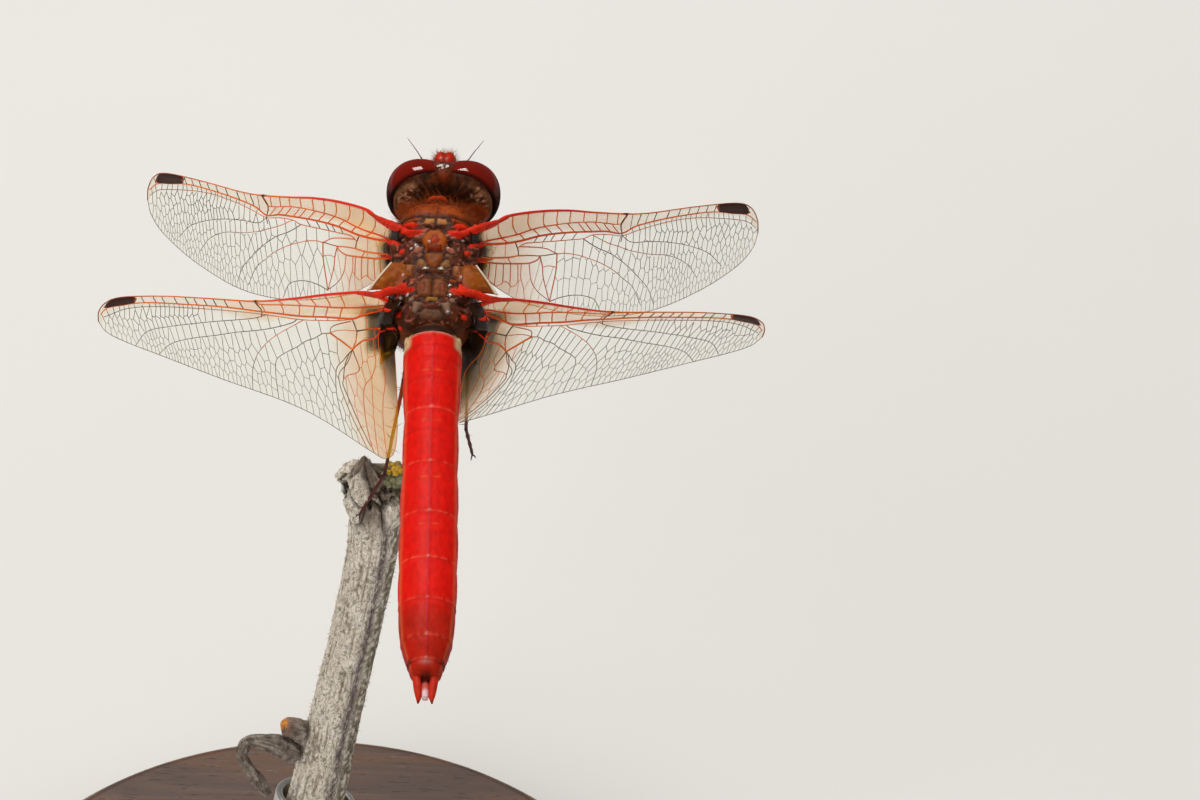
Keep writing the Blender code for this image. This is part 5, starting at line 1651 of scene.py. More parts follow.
def leg_finish():
    """A warm brown thigh, a shin that goes from orange-red to violet-brown, and dark joints."""
    finish = Finish("leg", Specular_IOR_Level=0.3)
    place = finish.place()
    part = finish.attribute("along_leg")
    mottle = finish.grain(place, 2.4)
    thigh = finish.blend(mottle, (0.190, 0.036, 0.006), (0.300, 0.066, 0.009))
    violet = finish.blend(mottle, (0.060, 0.016, 0.016), (0.120, 0.030, 0.024))
    shin = finish.blend(part.step(1.25, 1.75), (0.38, 0.060, 0.012), violet)
    colour = finish.blend(part.step(0.9, 1.1), thigh, shin)
    joint = abs((part + 0.5).math("FRACT") - 0.5).step(0.07, 0.02)
    colour = finish.blend(joint * 0.6, colour, (0.010, 0.004, 0.003))
    relief = finish.bump(finish.grain(place, 13.0), 0.020, 0.6)
    return finish.wear(Base_Color=colour, Normal=relief, Roughness=finish.between(mottle, 0.24, 0.45))


def spine_finish():
    """Black bristles with brown tips."""
    finish = Finish("spine", roughness=0.35)
    mottle = finish.grain(finish.place(), 3.0)
    return finish.wear(Base_Color=finish.blend(mottle, (0.008, 0.004, 0.003), (0.050, 0.016, 0.008)),
                       Roughness=finish.between(mottle, 0.25, 0.5))


LEG = leg_finish()
SPINE = spine_finish()


def build_leg(name, corners):
    """Thigh, shin and foot as overlapping rounded tubes, with two claws at the end."""
    hip, knee, ankle, toe = (np.array(corner, float) for corner in corners)
    shells, shares = [], []
    bow = np.cross(knee - hip, ankle - knee)
    bow = np.cross(knee - hip, bow)
    bow /= max(np.linalg.norm(bow), 1e-6)
    parts = ((hip, knee, FEMUR_SHAPE, 0.10), (knee, ankle, TIBIA_SHAPE, -0.05), (ankle, toe, TARSUS_SHAPE, 0.0))
    for index, (start, end, shape, bend) in enumerate(parts):
        path = [start, (start + end) / 2 + bow * bend, end]
        points, faces = tube_shell(path, shape, LEG_SIDES, LEG_STEPS)
        shells.append((points, faces))
        axis = (end - start) / np.linalg.norm(end - start)
        shares.append(index + np.clip((points - start) @ axis / np.linalg.norm(end - start), 0, 1))
        if index < 2:
            knob = rounded_block(end, (shape[-1] * 1.15,) * 3, 2.0, 10, 14)
            shells.append(knob)
            shares.append(np.full(len(knob[0]), index + 1.0))
    reach = (toe - ankle) / np.linalg.norm(toe - ankle)
    side = np.cross(reach, (0.0, 0.0, 1.0))
    side /= np.linalg.norm(side)
    for lean in (-1, 1):
        claw = tube_shell((toe - reach * 0.05, toe + reach * 0.14 + side * lean * 0.12,
                           toe + reach * 0.24 + side * lean * 0.17 - (0, 0, 0.10)), (0.045, 0.04, 0.008), 8, 6)
        shells.append(claw)
        shares.append(np.full(len(claw[0]), 3.0))
    points, faces = join_shells(shells)
    leg = make_mesh(name, in_world(BODY, points), faces)
    add_attribute(leg, "along_leg", np.concatenate(shares))
    leg.data.materials.append(LEG)
    return leg


for leg_name, corners in LEGS.items():
    leg = build_leg(leg_name + "_limb", corners)
    settle(leg, [f"{leg_name}_{part}" for part in ("femur", "tibia", "tarsus")])

for side, name in ((-1, "antenna_left"), (1, "antenna_right")):
    path = ((side * 0.80, 1.45, 0.75), (side * 1.20, 1.74, 1.04), (side * 1.62, 2.10, 1.50), (side * 2.15, 2.60, 1.98))
    points, faces = tube_shell(path, (0.13, 0.12, 0.05, 0.032, 0.026, 0.022, 0.018, 0.012), 10, 14)
    antenna = make_mesh(name + "_bristle", in_world(HEAD, points), faces)
    add_attribute(antenna, "along_leg", np.full(len(points), 2.5))
    antenna.data.materials.append(LEG)
    settle(antenna, [name])

# %% [markdown]
# A meadowhawk is woolly between head and wings. Hairs are thin bent cones, one Geometry Nodes tree for all of
# them: each grows on a point that knows its direction, length, width and its place on the unwrapped skin. That
# last place becomes a UV map, so that a baked colour can follow every tuft.

# %% The bristle tree
TUFT_PATCH = 0.003
BRISTLE_BOW = 3.0
BRISTLE_SIDES = 3
bristle_tree = Growth("bristles", Seed=1, Unruliness=0.25, Sides=BRISTLE_SIDES)
soft = bristle_tree.node("GeometryNodeMeshCone", inputs={
    "Vertices": bristle_tree.start.outputs["Sides"], "Side Segments": 3, "Radius Top": 0.06, "Radius Bottom": 0.5,
    "Depth": 1.0})
cone_node = soft.node
local = bristle_tree.node("GeometryNodeStoreNamedAttribute", {"data_type": "FLOAT2", "domain": "CORNER"}, {
    "Geometry": soft, "Name": "tuft_place", "Value": cone_node.outputs["UV Map"]})
height = bristle_tree.node("ShaderNodeSeparateXYZ", inputs={
    0: bristle_tree.node("GeometryNodeInputPosition")}, output=2)
bent = bristle_tree.times(bristle_tree.times(height, height), BRISTLE_BOW)
bow = bristle_tree.node("ShaderNodeCombineXYZ", inputs={0: bent, 1: 0.0, 2: 0.0})
curved = bristle_tree.node("GeometryNodeSetPosition", inputs={"Geometry": local, "Offset": bow})
wander = bristle_tree.node("FunctionNodeRandomValue", {"data_type": "FLOAT_VECTOR"}, {
    0: (-1.0, -1.0, -1.0), 1: (1.0, 1.0, 1.0), "Seed": bristle_tree.start.outputs["Seed"]})
stray = bristle_tree.node("ShaderNodeVectorMath", {"operation": "SCALE"}, {
    0: wander, "Scale": bristle_tree.start.outputs["Unruliness"]})
aim = bristle_tree.node("ShaderNodeVectorMath", {"operation": "ADD"}, {
    0: bristle_tree.named("aim", "FLOAT_VECTOR"), 1: stray})
turn = bristle_tree.node("FunctionNodeAlignRotationToVector", {"axis": "Z"}, {"Vector": aim})
thick = bristle_tree.named("thick")
size = bristle_tree.node("ShaderNodeCombineXYZ", inputs={0: thick, 1: thick, 2: bristle_tree.named("length")})
grown = bristle_tree.node("GeometryNodeInstanceOnPoints", inputs={
    "Points": bristle_tree.start.outputs["Geometry"], "Instance": curved, "Rotation": turn, "Scale": size})
real = bristle_tree.node("GeometryNodeRealizeInstances", inputs={"Geometry": grown})
patch = bristle_tree.node("ShaderNodeVectorMath", {"operation": "SCALE"}, {
    0: bristle_tree.named("tuft_place", "FLOAT_VECTOR"), "Scale": TUFT_PATCH})
unwrapped = bristle_tree.node("ShaderNodeVectorMath", {"operation": "ADD"}, {
    0: bristle_tree.named("skin_place", "FLOAT_VECTOR"), 1: patch})
mapped = bristle_tree.node("GeometryNodeStoreNamedAttribute", {"data_type": "FLOAT2", "domain": "CORNER"}, {
    "Geometry": real, "Name": "OFBake", "Value": unwrapped})
rounded = bristle_tree.node("GeometryNodeSetShadeSmooth", inputs={"Geometry": mapped})


def hair_finish():
    """Pale gold at warmth 0, rust at 1 and nearly black at 2."""
    finish = Finish("hair", Specular_IOR_Level=0.2)
    warm = finish.attribute("warmth")
    mottle = finish.grain(finish.place(), 1.7)
    pale = finish.blend(mottle, (0.40, 0.21, 0.070), (0.22, 0.095, 0.028))
    rusty = finish.blend(warm.step(0.0, 1.0), pale, (0.30, 0.050, 0.006))
    return finish.wear(Base_Color=finish.blend(warm.step(1.0, 2.0), rusty, (0.035, 0.012, 0.006)),
                       Roughness=finish.between(mottle, 0.40, 0.62))


HAIR = hair_finish()
bristle_tree.end(rounded, HAIR)
print("the bristle tree has", len(bristle_tree.tree.nodes), "nodes")


def plant(name, points, aims, lengths, thick, places, material, seed, unruliness=0.25, warmth=None):
    """Grow one bristle on each world point and give back the coat as a plain mesh."""
    seedbed = make_mesh(name + "_roots", points, [])
    add_attribute(seedbed, "aim", aims, "FLOAT_VECTOR", "vector")
    add_attribute(seedbed, "skin_place", np.hstack([places, np.zeros((len(points), 1))]), "FLOAT_VECTOR", "vector")
    add_attribute(seedbed, "length", np.asarray(lengths) * MM)
    add_attribute(seedbed, "thick", np.full(len(points), thick * MM))
    add_attribute(seedbed, "warmth", np.zeros(len(points)) if warmth is None else warmth)
    coat = bristle_tree.grow(seedbed, name, Seed=seed, Unruliness=unruliness, Sides=BRISTLE_SIDES)
    coat.data.materials.clear()
    coat.data.materials.append(material)
    coat.data.polygons.foreach_set("material_index", [0] * len(coat.data.polygons))
    return coat


def unwrap(points, low, high):
    """Places on a sheet rolled off around the long axis: turn about it, and share of the way along."""
    turn = np.arctan2(points[:, 0], points[:, 2] - 0.2) / (2 * math.pi) + 0.5
    along = (points[:, 1] - low) / (high - low)
    return np.clip(np.stack([turn, along], 1), 0.0, 0.996)


def aimed(frame_matrix, aims):
    """Directions of a local frame as directions in the world."""
    return in_world(frame_matrix, aims) - in_world(frame_matrix, 0 * aims)


def pick(weights, count, seed):
    """Draw some points of a surface, more where the weight is high."""
    draw = np.random.default_rng(seed)
    count = min(count, int((weights > 0).sum()))
    return draw.choice(len(weights), count, replace=False, p=weights / weights.sum()), draw


# %% The coats of thorax, head and abdomen
HAIR_SINK = 0.05
THORAX_HAIRS, HEAD_HAIRS, ABDOMEN_HAIRS = 9500, 4200, 5200
x, y, z = trunk_points.T
belly = smooth(2.2, 1.4, z)
mane = 3.2 * smooth(3.1, 3.6, y) * (0.35 + 0.65 * smooth(0.9, 1.6, np.abs(x)))
thorax_weight = (np.abs(x) < 2.55) * (1 - is_head) * (mane + 0.9 * belly) * smooth(5.9, 5.4, y) * (z > -4.2)
rows, draw = pick(thorax_weight, THORAX_HAIRS, 31)
roots, normals = trunk_points[rows], trunk_normals[rows]
front = smooth(3.0, 4.2, roots[:, 1])
lengths = draw.uniform(0.28, 0.62, len(rows)) * (1 + 0.55 * front) * (1 - 0.35 * smooth(0, -3, roots[:, 2]))
aims = normals * 0.8 + np.stack([0.15 * roots[:, 0], 0.35 - 0.65 * (1 - front), 0.55 * front + 0.1], 1)
coat = plant("hair_thorax", in_world(BODY, roots - normals * HAIR_SINK), aimed(BODY, aims),
             lengths, 0.026, unwrap(roots, -4.5, 6.5), HAIR, 5, 0.30, 1.35 - 0.55 * front)
settle(coat, [])

x, y, z = trunk_in_head.T
outside_eye = smooth(-0.55, -0.85, y + 0.20 * np.abs(x))
face = smooth(1.0, 1.3, y) * smooth(1.6, 1.4, np.abs(x))
crown_strip = smooth(0.6, 0.4, np.abs(x)) * smooth(1.5, 1.7, z)
head_weight = is_head * (2.2 * outside_eye + 0.9 * face + 1.3 * crown_strip) * (np.hypot(x, z) > 0.8)
rows, draw = pick(head_weight, HEAD_HAIRS, 37)
roots, normals = trunk_in_head[rows], normals_in_head[rows]
lengths = draw.uniform(0.18, 0.42, len(rows)) * (1 + 0.5 * face[rows])
aims = normals + np.stack([0.4 * roots[:, 0] / 3, -0.15 + 0 * lengths, 0.35 + 0 * lengths], 1)
coat = plant("hair_head", in_world(HEAD, roots - normals * HAIR_SINK), aimed(HEAD, aims),
             lengths, 0.017, unwrap(roots, -2.0, 2.6), HAIR, 6, 0.35,
             np.where(face[rows] > 0.5, 0.7, 1.9 - 1.5 * smooth(1.5, 2.4, np.abs(roots[:, 0]))))
settle(coat, [])

x, y, z = abdomen_points.T
along = -y
down = abdomen_normals[:, 2]
rump_weight = (0.25 + 2.0 * smooth(2.5, 0.5, along) + 1.2 * smooth(20, 23, along)) * (along > 0.1)
rows, draw = pick(rump_weight, ABDOMEN_HAIRS, 41)
roots, normals = abdomen_points[rows], abdomen_normals[rows]
lengths = draw.uniform(0.10, 0.20, len(rows)) * (1 + 0.6 * smooth(2.0, 0.3, -roots[:, 1]))
aims = normals * 0.75 + (0, -0.9, 0)
places = unwrap(roots, -24.3, 0.6)
coat = plant("hair_abdomen", in_world(ABDOMEN, roots - normals * 0.03), aimed(ABDOMEN, aims),
             lengths, 0.011, places, HAIR, 7, 0.2, np.ones(len(rows)))
settle(coat, [])

# %% Spines of the legs and bristles of the tail
for leg_name, corners in LEGS.items():
    hip, knee, ankle, toe = (np.array(corner, float) for corner in corners)
    roots, aims, lengths, places = [], [], [], []
    plane = np.cross(knee - hip, ankle - knee)
    plane /= np.linalg.norm(plane)
    shorter = 0.45 if "fore" in leg_name else 1.0
    for start, end, count, reach, radius in ((hip, knee, 11, 0.34, 0.22), (knee, ankle, 9, 0.78, 0.11),
                                             (ankle, toe, 7, 0.26, 0.07)):
        axis = (end - start) / np.linalg.norm(end - start)
        inward = np.cross(axis, plane)
        for i in range(count):
            share = (i + 0.8) / (count + 0.4)
            for lean in (-1, 1):
                out = inward * 0.8 + plane * lean * 0.75
                out /= np.linalg.norm(out)
                roots.append(start + (end - start) * share + out * radius * 0.6)
                aims.append(out + axis * 0.75)
                lengths.append(reach * shorter * (1.0 - 0.35 * share))
                places.append(((lean + 1) / 2 * 0.9, share * 0.95))
    roots, aims = np.array(roots), np.array(aims)
    comb = plant(leg_name + "_spines", in_world(BODY, roots), aimed(BODY, aims),
                 lengths, 0.055, np.array(places), SPINE, SPINE_SEED, 0.10)
    settle(comb, [])

# %% [markdown]
# The perch is a dead twig tip. Its bark is grey and fibrous, with long cracks, and it ends in a broken knot
# with pits, painted dark as shade. The shape is a loft along the twig; noise stretched along it carves the fibres, and
# wider noise eats into the broken top. Lichen sits as small crumbs beside the broken end.

# %% The twig
TWIG = (((2.9, 4.25, 38.15), 1.00), ((3.0, 4.15, 37.75), 1.45), ((3.05, 4.0, 37.0), 1.85), ((3.1, 3.9, 36.4), 1.9),
        ((3.25, 3.7, 35.4), 1.65), ((3.3, 3.45, 34.1), 1.5), ((3.1, 3.0, 31.7), 1.42), ((2.2, 2.07, 26.6), 1.40),
        ((1.2, 1.14, 21.45), 1.45), ((0.2, 0.2, 16.2), 1.62), ((-0.05, -0.05, 15.0), 1.65))
SHOOT = (((-0.9, 0.2, 19.6), 0.55), ((-1.8, 0, 20.3), 0.62), ((-2.8, 0, 20.6), 0.42), ((-3.65, 0, 20.5), 0.34),
         ((-4.0, -0.3, 19.9), 0.32), ((-3.6, -0.7, 19.2), 0.32), ((-3.0, -1.1, 18.6), 0.38), ((-2.4, -1.6, 18.0), 0.22))
STUB = (((-0.5, 0.4, 21.1), 0.62), ((-1.2, 0.35, 21.4), 0.58), ((-1.75, 0.3, 21.3), 0.40))
TWIG_MIDDLE = (1.678, 2.068, 26.484)
TWIG_SIDES = 180
TWIG_ROWS = 230
BRANCH_STEPS = 12
perch_shift = np.array(middle("perch_twig")) - TWIG_MIDDLE


def on_perch(stations):
    """A drawn branch, moved along with the packed twig."""
    return [(np.array(place) + perch_shift, radius) for place, radius in stations]


TWIG, SHOOT, STUB = (on_perch(stations) for stations in (TWIG, SHOOT, STUB))


def resample(line, count):
    """A path with equal steps."""
    steps = np.concatenate([[0], np.cumsum(np.linalg.norm(np.diff(line, axis=0), axis=1))])
    at = np.linspace(0, steps[-1], count)
    return np.stack([np.interp(at, steps, line[:, k]) for k in range(3)], 1), steps, at


def branch(stations, rows, sides):
    """A loft through stations, with each point's turn about it and distance from its start."""
    line = curve_through([place for place, _ in stations], BRANCH_STEPS)
    path, steps, at = resample(line, rows)
    radii = curve_through([(radius, 0, 0) for _, radius in stations], BRANCH_STEPS)[:, 0]
    width = np.interp(at, steps, radii)
    points, faces = wrap_rings(circle_rings(path, width, sides))
    return points, faces, path, width, at


def bark_colour(points, turn, down):
    """Grey-white fibres, dark cracks and brown speckles."""
    fibre = cloud(np.stack([np.cos(turn) * 3.2, np.sin(turn) * 3.2, down * 0.22], 1), 2.6, 3.0)
    fine = cloud(np.stack([np.cos(turn) * 4, np.sin(turn) * 4, down * 0.8], 1), 5.0, 8.0)
    patch = cloud(points, 0.55, 5.0)
    colour = np.tile((0.80, 0.72, 0.60), (len(points), 1))
    colour = tint(colour, smooth(-0.1, 0.4, patch) * 0.6, (0.95, 0.87, 0.76))
    colour = tint(colour, smooth(-0.12, -0.45, fibre) * 0.65, (0.24, 0.17, 0.12))
    colour = tint(colour, smooth(0.1, 0.45, fine) * 0.5, (0.80, 0.74, 0.64))
    colour = tint(colour, smooth(0.26, 0.44, cloud(points, 4.4, 1.0)) * 0.6, (0.10, 0.070, 0.045))
    return colour, fibre, fine


def chunks(points, scale):
    """Broken chunks: nearness to the split between two of them, and each chunk's own height about -1 to 1."""
    gaps, heights = [], []
    for point in points:
        distances, seeds = noise.voronoi(Vector(point) * scale)
        gaps.append(distances[1] - distances[0])
        heights.append(noise.noise(seeds[0] * 7.3) * 2)
    return np.array(gaps), np.array(heights)


twig_points, twig_faces, twig_path, twig_width, twig_at = branch(TWIG, TWIG_ROWS, TWIG_SIDES)
ring_count = TWIG_ROWS * TWIG_SIDES
row_of = np.concatenate([np.repeat(np.arange(TWIG_ROWS), TWIG_SIDES), [0, TWIG_ROWS - 1]])
centre = twig_path[row_of]
outward = twig_points - centre
turn = np.arctan2(outward[:, 1], outward[:, 0])
outward /= np.maximum(np.linalg.norm(outward, axis=1, keepdims=True), 1e-6)
down = twig_at[row_of]
twig_colour, fibre, fine = bark_colour(twig_points, turn, down)
knot = smooth(4.6, 3.2, down)
crag = cloud(twig_points, 1.1, 12.0)
relief = 0.05 * fibre + 0.035 * fine - 0.02 * smooth(-0.1, -0.5, fibre)
chunk_gap, chunk_height = chunks(twig_points * (1, 1, 0.55), 1.05)
split = smooth(0.16, 0.03, chunk_gap)
relief += knot * (0.20 * crag + 0.34 * chunk_height + 0.09 * cloud(twig_points, 3.2, 2.0) - 0.26 * split)
# The broken end: one broad prong of wood stands up and a lower one beside it; the rest is broken off deeper
jag = 0.55 * np.exp(-((turn + 2.05) / 0.55) ** 4) + 0.15 * np.exp(-((turn - 2.9) / 0.35) ** 4)
jag += 0.34 * cloud(np.stack([np.cos(turn) * 2, np.sin(turn) * 2, 0 * turn], 1), 2.6, 4.0) - 0.42
jag -= 0.75 * smooth(-1.85, -1.35, turn) * smooth(1.9, 1.2, turn)
end_axis = (twig_path[0] - twig_path[20]) / np.linalg.norm(twig_path[0] - twig_path[20])
rise = smooth(1.9, 0.7, down)[:, None] * jag[:, None] * end_axis
# The pit on the left of the knot and the open cracks under the foot; their near-black colour is painted shade
pits = np.zeros(len(twig_points))
for place, size, depth in ((np.array((1.22, 3.35, 36.30)), 0.56, 0.70), (np.array((3.0, 2.2, 36.20)), 0.26, 0.45),
                           (np.array((2.75, 2.3, 35.35)), 0.13, 0.20), (np.array((3.60, 2.4, 37.0)), 0.30, 0.35)):
    away = np.linalg.norm((twig_points - place - perch_shift) * (1.4, 1, 0.5), axis=1)
    away *= 1 + 0.35 * crag
    hole = hump(away, 0, size)
    relief -= depth * hole
    pits = np.maximum(pits, smooth(0.22, 0.5, hole))
twig_colour = tint(twig_colour, knot * split * 0.95, (0.022, 0.014, 0.009))
twig_colour = tint(twig_colour, knot * smooth(0.0, -0.5, chunk_height) * 0.75, (0.13, 0.080, 0.048))
# Painted shade: the pits are painted nearly black.
twig_colour = tint(twig_colour, pits, (0.006, 0.004, 0.003))
violet = hump(turn + 1.12 + 0.06 * crag, 0, 0.17) * (1 - knot)
twig_colour = tint(twig_colour, violet * smooth(-0.65, -0.05, fine + 0.3 * crag), (0.130, 0.090, 0.100))
# Dark greenish speckles on the right side, which also paint the shade on that side.
shaded_right_side = smooth(-1.0, -0.7, turn) * smooth(1.6, 0.8, turn)
green_speckle_and_shade = shaded_right_side * smooth(-0.35, 0.20, cloud(twig_points, 3.4, 21.0))
twig_colour = tint(twig_colour, green_speckle_and_shade * 0.85, (0.120, 0.095, 0.045))
shrink = twig_width[row_of] * 0.55
relief = np.maximum(relief, -shrink)
relief[ring_count:] = 0
rise[ring_count:] = -0.45 * end_axis
rise[-1] = 0
twig_points = twig_points + outward * relief[:, None] + rise
print("twig", twig_at[-1].round(1), "mm along, relief", relief.min().round(2), "to", relief.max().round(2), "mm")

# %% Bark finish


def bark_finish():
    """Painted fibres under fine cracks and dust."""
    finish = Finish("bark", roughness=0.85)
    place = finish.place()
    paint = finish.attribute("paint", "Color")
    along = finish.stretched(place, (5.5, 5.5, 0.9), (0.0, -11.0, 0.0))
    fibre, speck = finish.grain(along, 1.6, detail=5.0), finish.grain(place, 7.0, detail=4.0)
    strands = finish.stretched(place, (1.0, 1.0, 0.55), (0.0, -11.0, 0.0))
    gap, thread = (abs(finish.grain(strands, scale, detail=1.5) - 0.5) for scale in (4.2, 3.1))
    dark = finish.blend(fibre.step(0.46, 0.34) * 0.45, paint, finish.blend(0.60, paint, (0.080, 0.056, 0.036)))
    net = finish.blend(gap.step(0.035, 0.008) * 0.75, dark, finish.blend(0.75, paint, (0.060, 0.042, 0.028)))
    light = finish.blend(thread.step(0.030, 0.008) * 0.55, net, finish.blend(0.25, paint, (0.95, 0.88, 0.76)))
    grit = finish.blend(speck.step(0.62, 0.72) * 0.5, light, finish.blend(0.7, paint, (0.060, 0.042, 0.028)))
    relief = finish.bump(thread.step(0.05, 0.0), 0.05, 0.9, finish.bump(speck, 0.04, 0.7))
    relief = finish.bump(fibre, 0.06, 0.8, relief)
    return finish.wear(Base_Color=grit, Normal=relief, Roughness=finish.between(speck, 0.72, 0.95))


BARK = bark_finish()


def dress_bark(name, points, faces, colour):
    """A bark piece with its painted colour."""
    piece = make_mesh(name, np.asarray(points) * MM, faces)
    add_paint(piece, colour, 0.002)
    piece.data.materials.append(BARK)
    return piece


settle(dress_bark("twig_bark", twig_points, twig_faces, twig_colour), ["perch_twig"])

for name, stations, node, sides, rows in (("twig_shoot", SHOOT, "perch_shoot", 64, 120),
                                          ("twig_stub", STUB, "perch_stub", 72, 50)):
    points, faces, path, width, at = branch(stations, rows, sides)
    row = np.concatenate([np.repeat(np.arange(rows), sides), [0, rows - 1]])
    out = points - path[row]
    around = np.arctan2(out[:, 2], out[:, 1])
    out /= np.maximum(np.linalg.norm(out, axis=1, keepdims=True), 1e-6)
    rib = cloud(np.stack([np.cos(around) * 2, np.sin(around) * 2, at[row] * 0.5], 1), 2.2, 6.0)
    bumps = cloud(points, 2.6, 3.0)
    colour = np.tile((0.21, 0.165, 0.135), (len(points), 1))
    colour = tint(colour, smooth(-0.1, 0.4, rib) * 0.7, (0.40, 0.345, 0.285))
    colour = tint(colour, smooth(0.1, -0.4, bumps) * 0.7, (0.065, 0.046, 0.035))
    if node == "perch_stub":
        colour = tint(colour, smooth(0.5, 0.95, at[row]) * 0.5, (0.26, 0.11, 0.075))
        colour = tint(colour, smooth(0.85, 1.0, at[row]) * smooth(0.5, 0.85, out[:, 2]), (0.66, 0.26, 0.03))
    change = (0.10 * rib + 0.07 * bumps) * np.minimum(width[row] / 0.4, 1.3)
    points = points + out * change[:, None]
    settle(dress_bark(name, points, faces, colour), [node])

# %% Lichen, flakes and fibres on the bark
# Each heap: its middle, its spread, how many crumbs of what sizes, and the colours they lie between
LICHENS = (
    ("lichen_yellow", (4.35, 2.95, 38.25), (0.30, 0.22, 0.12), 26, (0.12, 0.24),
     (0.62, 0.36, 0.02), (0.78, 0.50, 0.04)),
    ("lichen_grey", (4.45, 2.85, 37.55), (0.28, 0.22, 0.30), 36, (0.14, 0.30),
     (0.22, 0.22, 0.11), (0.40, 0.36, 0.22)),
)
FIBRE_COUNT = 1500
draw = np.random.default_rng(53)


def crumbs(name, middle_point, spread, count, sizes, colour_low, colour_high):
    """A heap of small warped lumps."""
    shells, colours = [], []
    for _ in range(count):
        place = np.array(middle_point) + perch_shift + draw.normal(0, 1, 3) * spread
        radius = draw.uniform(*sizes)
        points, faces = rounded_block(place, (radius, radius * draw.uniform(0.7, 1.1), radius * draw.uniform(0.6, 1.0)),
                                      2.0, 12, 16)
        points = place + (points - place) * (1 + 0.28 * cloud(points, 4.0 / radius * 0.3, radius * 40))[:, None]
        shells.append((points, faces))
        tone = np.array(colour_low) + (np.array(colour_high) - colour_low) * draw.random()
        colours.append(np.tile(tone, (len(points), 1)))
    points, faces = join_shells(shells)
    return dress_bark(name, points, faces, np.concatenate(colours))


for name, *recipe in LICHENS:
    settle(crumbs(name, *recipe), [])

flake_rows = draw.choice(ring_count, FIBRE_COUNT, replace=False)
flake_roots = twig_points[flake_rows] - outward[flake_rows] * 0.02
flake_aims = outward[flake_rows] * 0.35 + draw.normal(0, 0.5, (FIBRE_COUNT, 3)) * (0.4, 0.4, 1.0)
flake_places = np.stack([turn[flake_rows] / (2 * math.pi) + 0.5, down[flake_rows] / twig_at[-1]], 1) * 0.99
fibres = plant("twig_fibres", flake_roots * MM, flake_aims, draw.uniform(0.10, 0.32, FIBRE_COUNT), 0.034,
               flake_places, HAIR, 9, 0.3)
settle(fibres, [])

# %% [markdown]
# A museum would hold such a model on a turned disc of walnut with a short steel rod and a ferrule that grips
# the twig. They are lathed shapes: a profile turned about an axis, with small rounded edges to catch light.

# %% The display stand
base_low, base_high = (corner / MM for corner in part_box("stand_base"))
BASE_RADIUS, BASE_HEIGHT = (base_high.x - base_low.x) / 2, base_high.z - base_low.z
BASE_ROUND = 0.9
ROD_RADIUS = 0.8
FERRULE_RADIUS, FERRULE_HEIGHT, FERRULE_WALL, FERRULE_FLOOR = 2.35, 2.6, 0.4, 1.0
ROD_BEND_DROP, ROD_FOOT_SHIFT = 3.5, 2.0
JOINT_GAP = 0.1
ROUNDING_STEPS = 6


def walnut_finish():
    """Oiled walnut with rings cut lengthwise and short dark pores."""
    finish = Finish("walnut", Coat_Weight=0.25, Coat_Roughness=0.3)
    place = finish.place()
    long_way = finish.stretched(place, (0.035, 0.30, 0.30))
    warp = finish.grain(long_way, 1.0, detail=4.0, distortion=0.6)
    ring = (warp * 26.0).math("SINE") * 0.5 + 0.5
    pores = finish.grain(finish.stretched(place, (0.55, 7.0, 7.0)), 1.0, detail=2.0).step(0.60, 0.72)
    wood = finish.blend(ring, (0.105, 0.042, 0.018), (0.052, 0.020, 0.009))
    wood = finish.blend(pores * 0.7, wood, (0.018, 0.008, 0.004))
    relief = finish.bump(pores, -0.03, 0.6, finish.bump(ring, 0.01, 0.4))
    return finish.wear(Base_Color=wood, Normal=relief, Roughness=finish.between(ring, 0.36, 0.50))


def steel_finish():
    """Brushed steel with fine turned lines."""
    finish = Finish("steel", roughness=0.3, Metallic=1.0)
    place = finish.place()
    lines = finish.grain(finish.stretched(place, (1.0, 1.0, 26.0)), 1.0, detail=2.0)
    haze = finish.grain(place, 0.8)
    relief = finish.bump(lines, 0.01, 0.5)
    return finish.wear(Base_Color=finish.blend(haze, (0.52, 0.51, 0.50), (0.62, 0.61, 0.59)), Normal=relief,
                       Roughness=finish.between(lines, 0.24, 0.40))


def rounded_profile(corners, radius):
    """A lathe profile of (radius, height) corners with its inner corners rounded."""
    result = [np.array(corners[0], float)]
    for before, corner, after in zip(corners, corners[1:], corners[2:]):
        before, corner, after = (np.array(p, float) for p in (before, corner, after))
        into = (before - corner) / np.linalg.norm(before - corner)
        out = (after - corner) / np.linalg.norm(after - corner)
        room = min(radius, np.linalg.norm(before - corner) * 0.45, np.linalg.norm(after - corner) * 0.45)
        for t in np.linspace(0, 1, ROUNDING_STEPS + 1):
            start, end = corner + into * room, corner + out * room
            result.append((1 - t) ** 2 * start + 2 * t * (1 - t) * corner + t * t * end)
    result.append(np.array(corners[-1], float))
    return result


def lathe(profile, origin, axis, sides):
    """Points and faces of a profile turned about an axis."""
    axis = Vector(axis).normalized()
    side = axis.orthogonal().normalized()
    up = axis.cross(side)
    rings = []
    for radius, height in profile:
        middle_point = np.array(origin) + np.array(axis) * height
        rings.append([middle_point + radius * np.array(side * math.cos(a) + up * math.sin(a))
                      for a in np.linspace(0, 2 * math.pi, sides, endpoint=False)])
    return wrap_rings(np.array(rings))


base_profile = rounded_profile(((0.02, 0.0), (BASE_RADIUS, 0.0), (BASE_RADIUS, BASE_HEIGHT - BASE_ROUND),
                                (BASE_RADIUS - BASE_ROUND, BASE_HEIGHT), (0.02, BASE_HEIGHT)), 0.35)
base_middle = (base_low + base_high) / 2
points, faces = lathe(base_profile, (base_middle.x, base_middle.y, base_low.z), (0, 0, 1), 192)
base = make_mesh("base_walnut", points * MM, faces)
base.data.materials.append(walnut_finish())
settle(base, ["stand_base"])

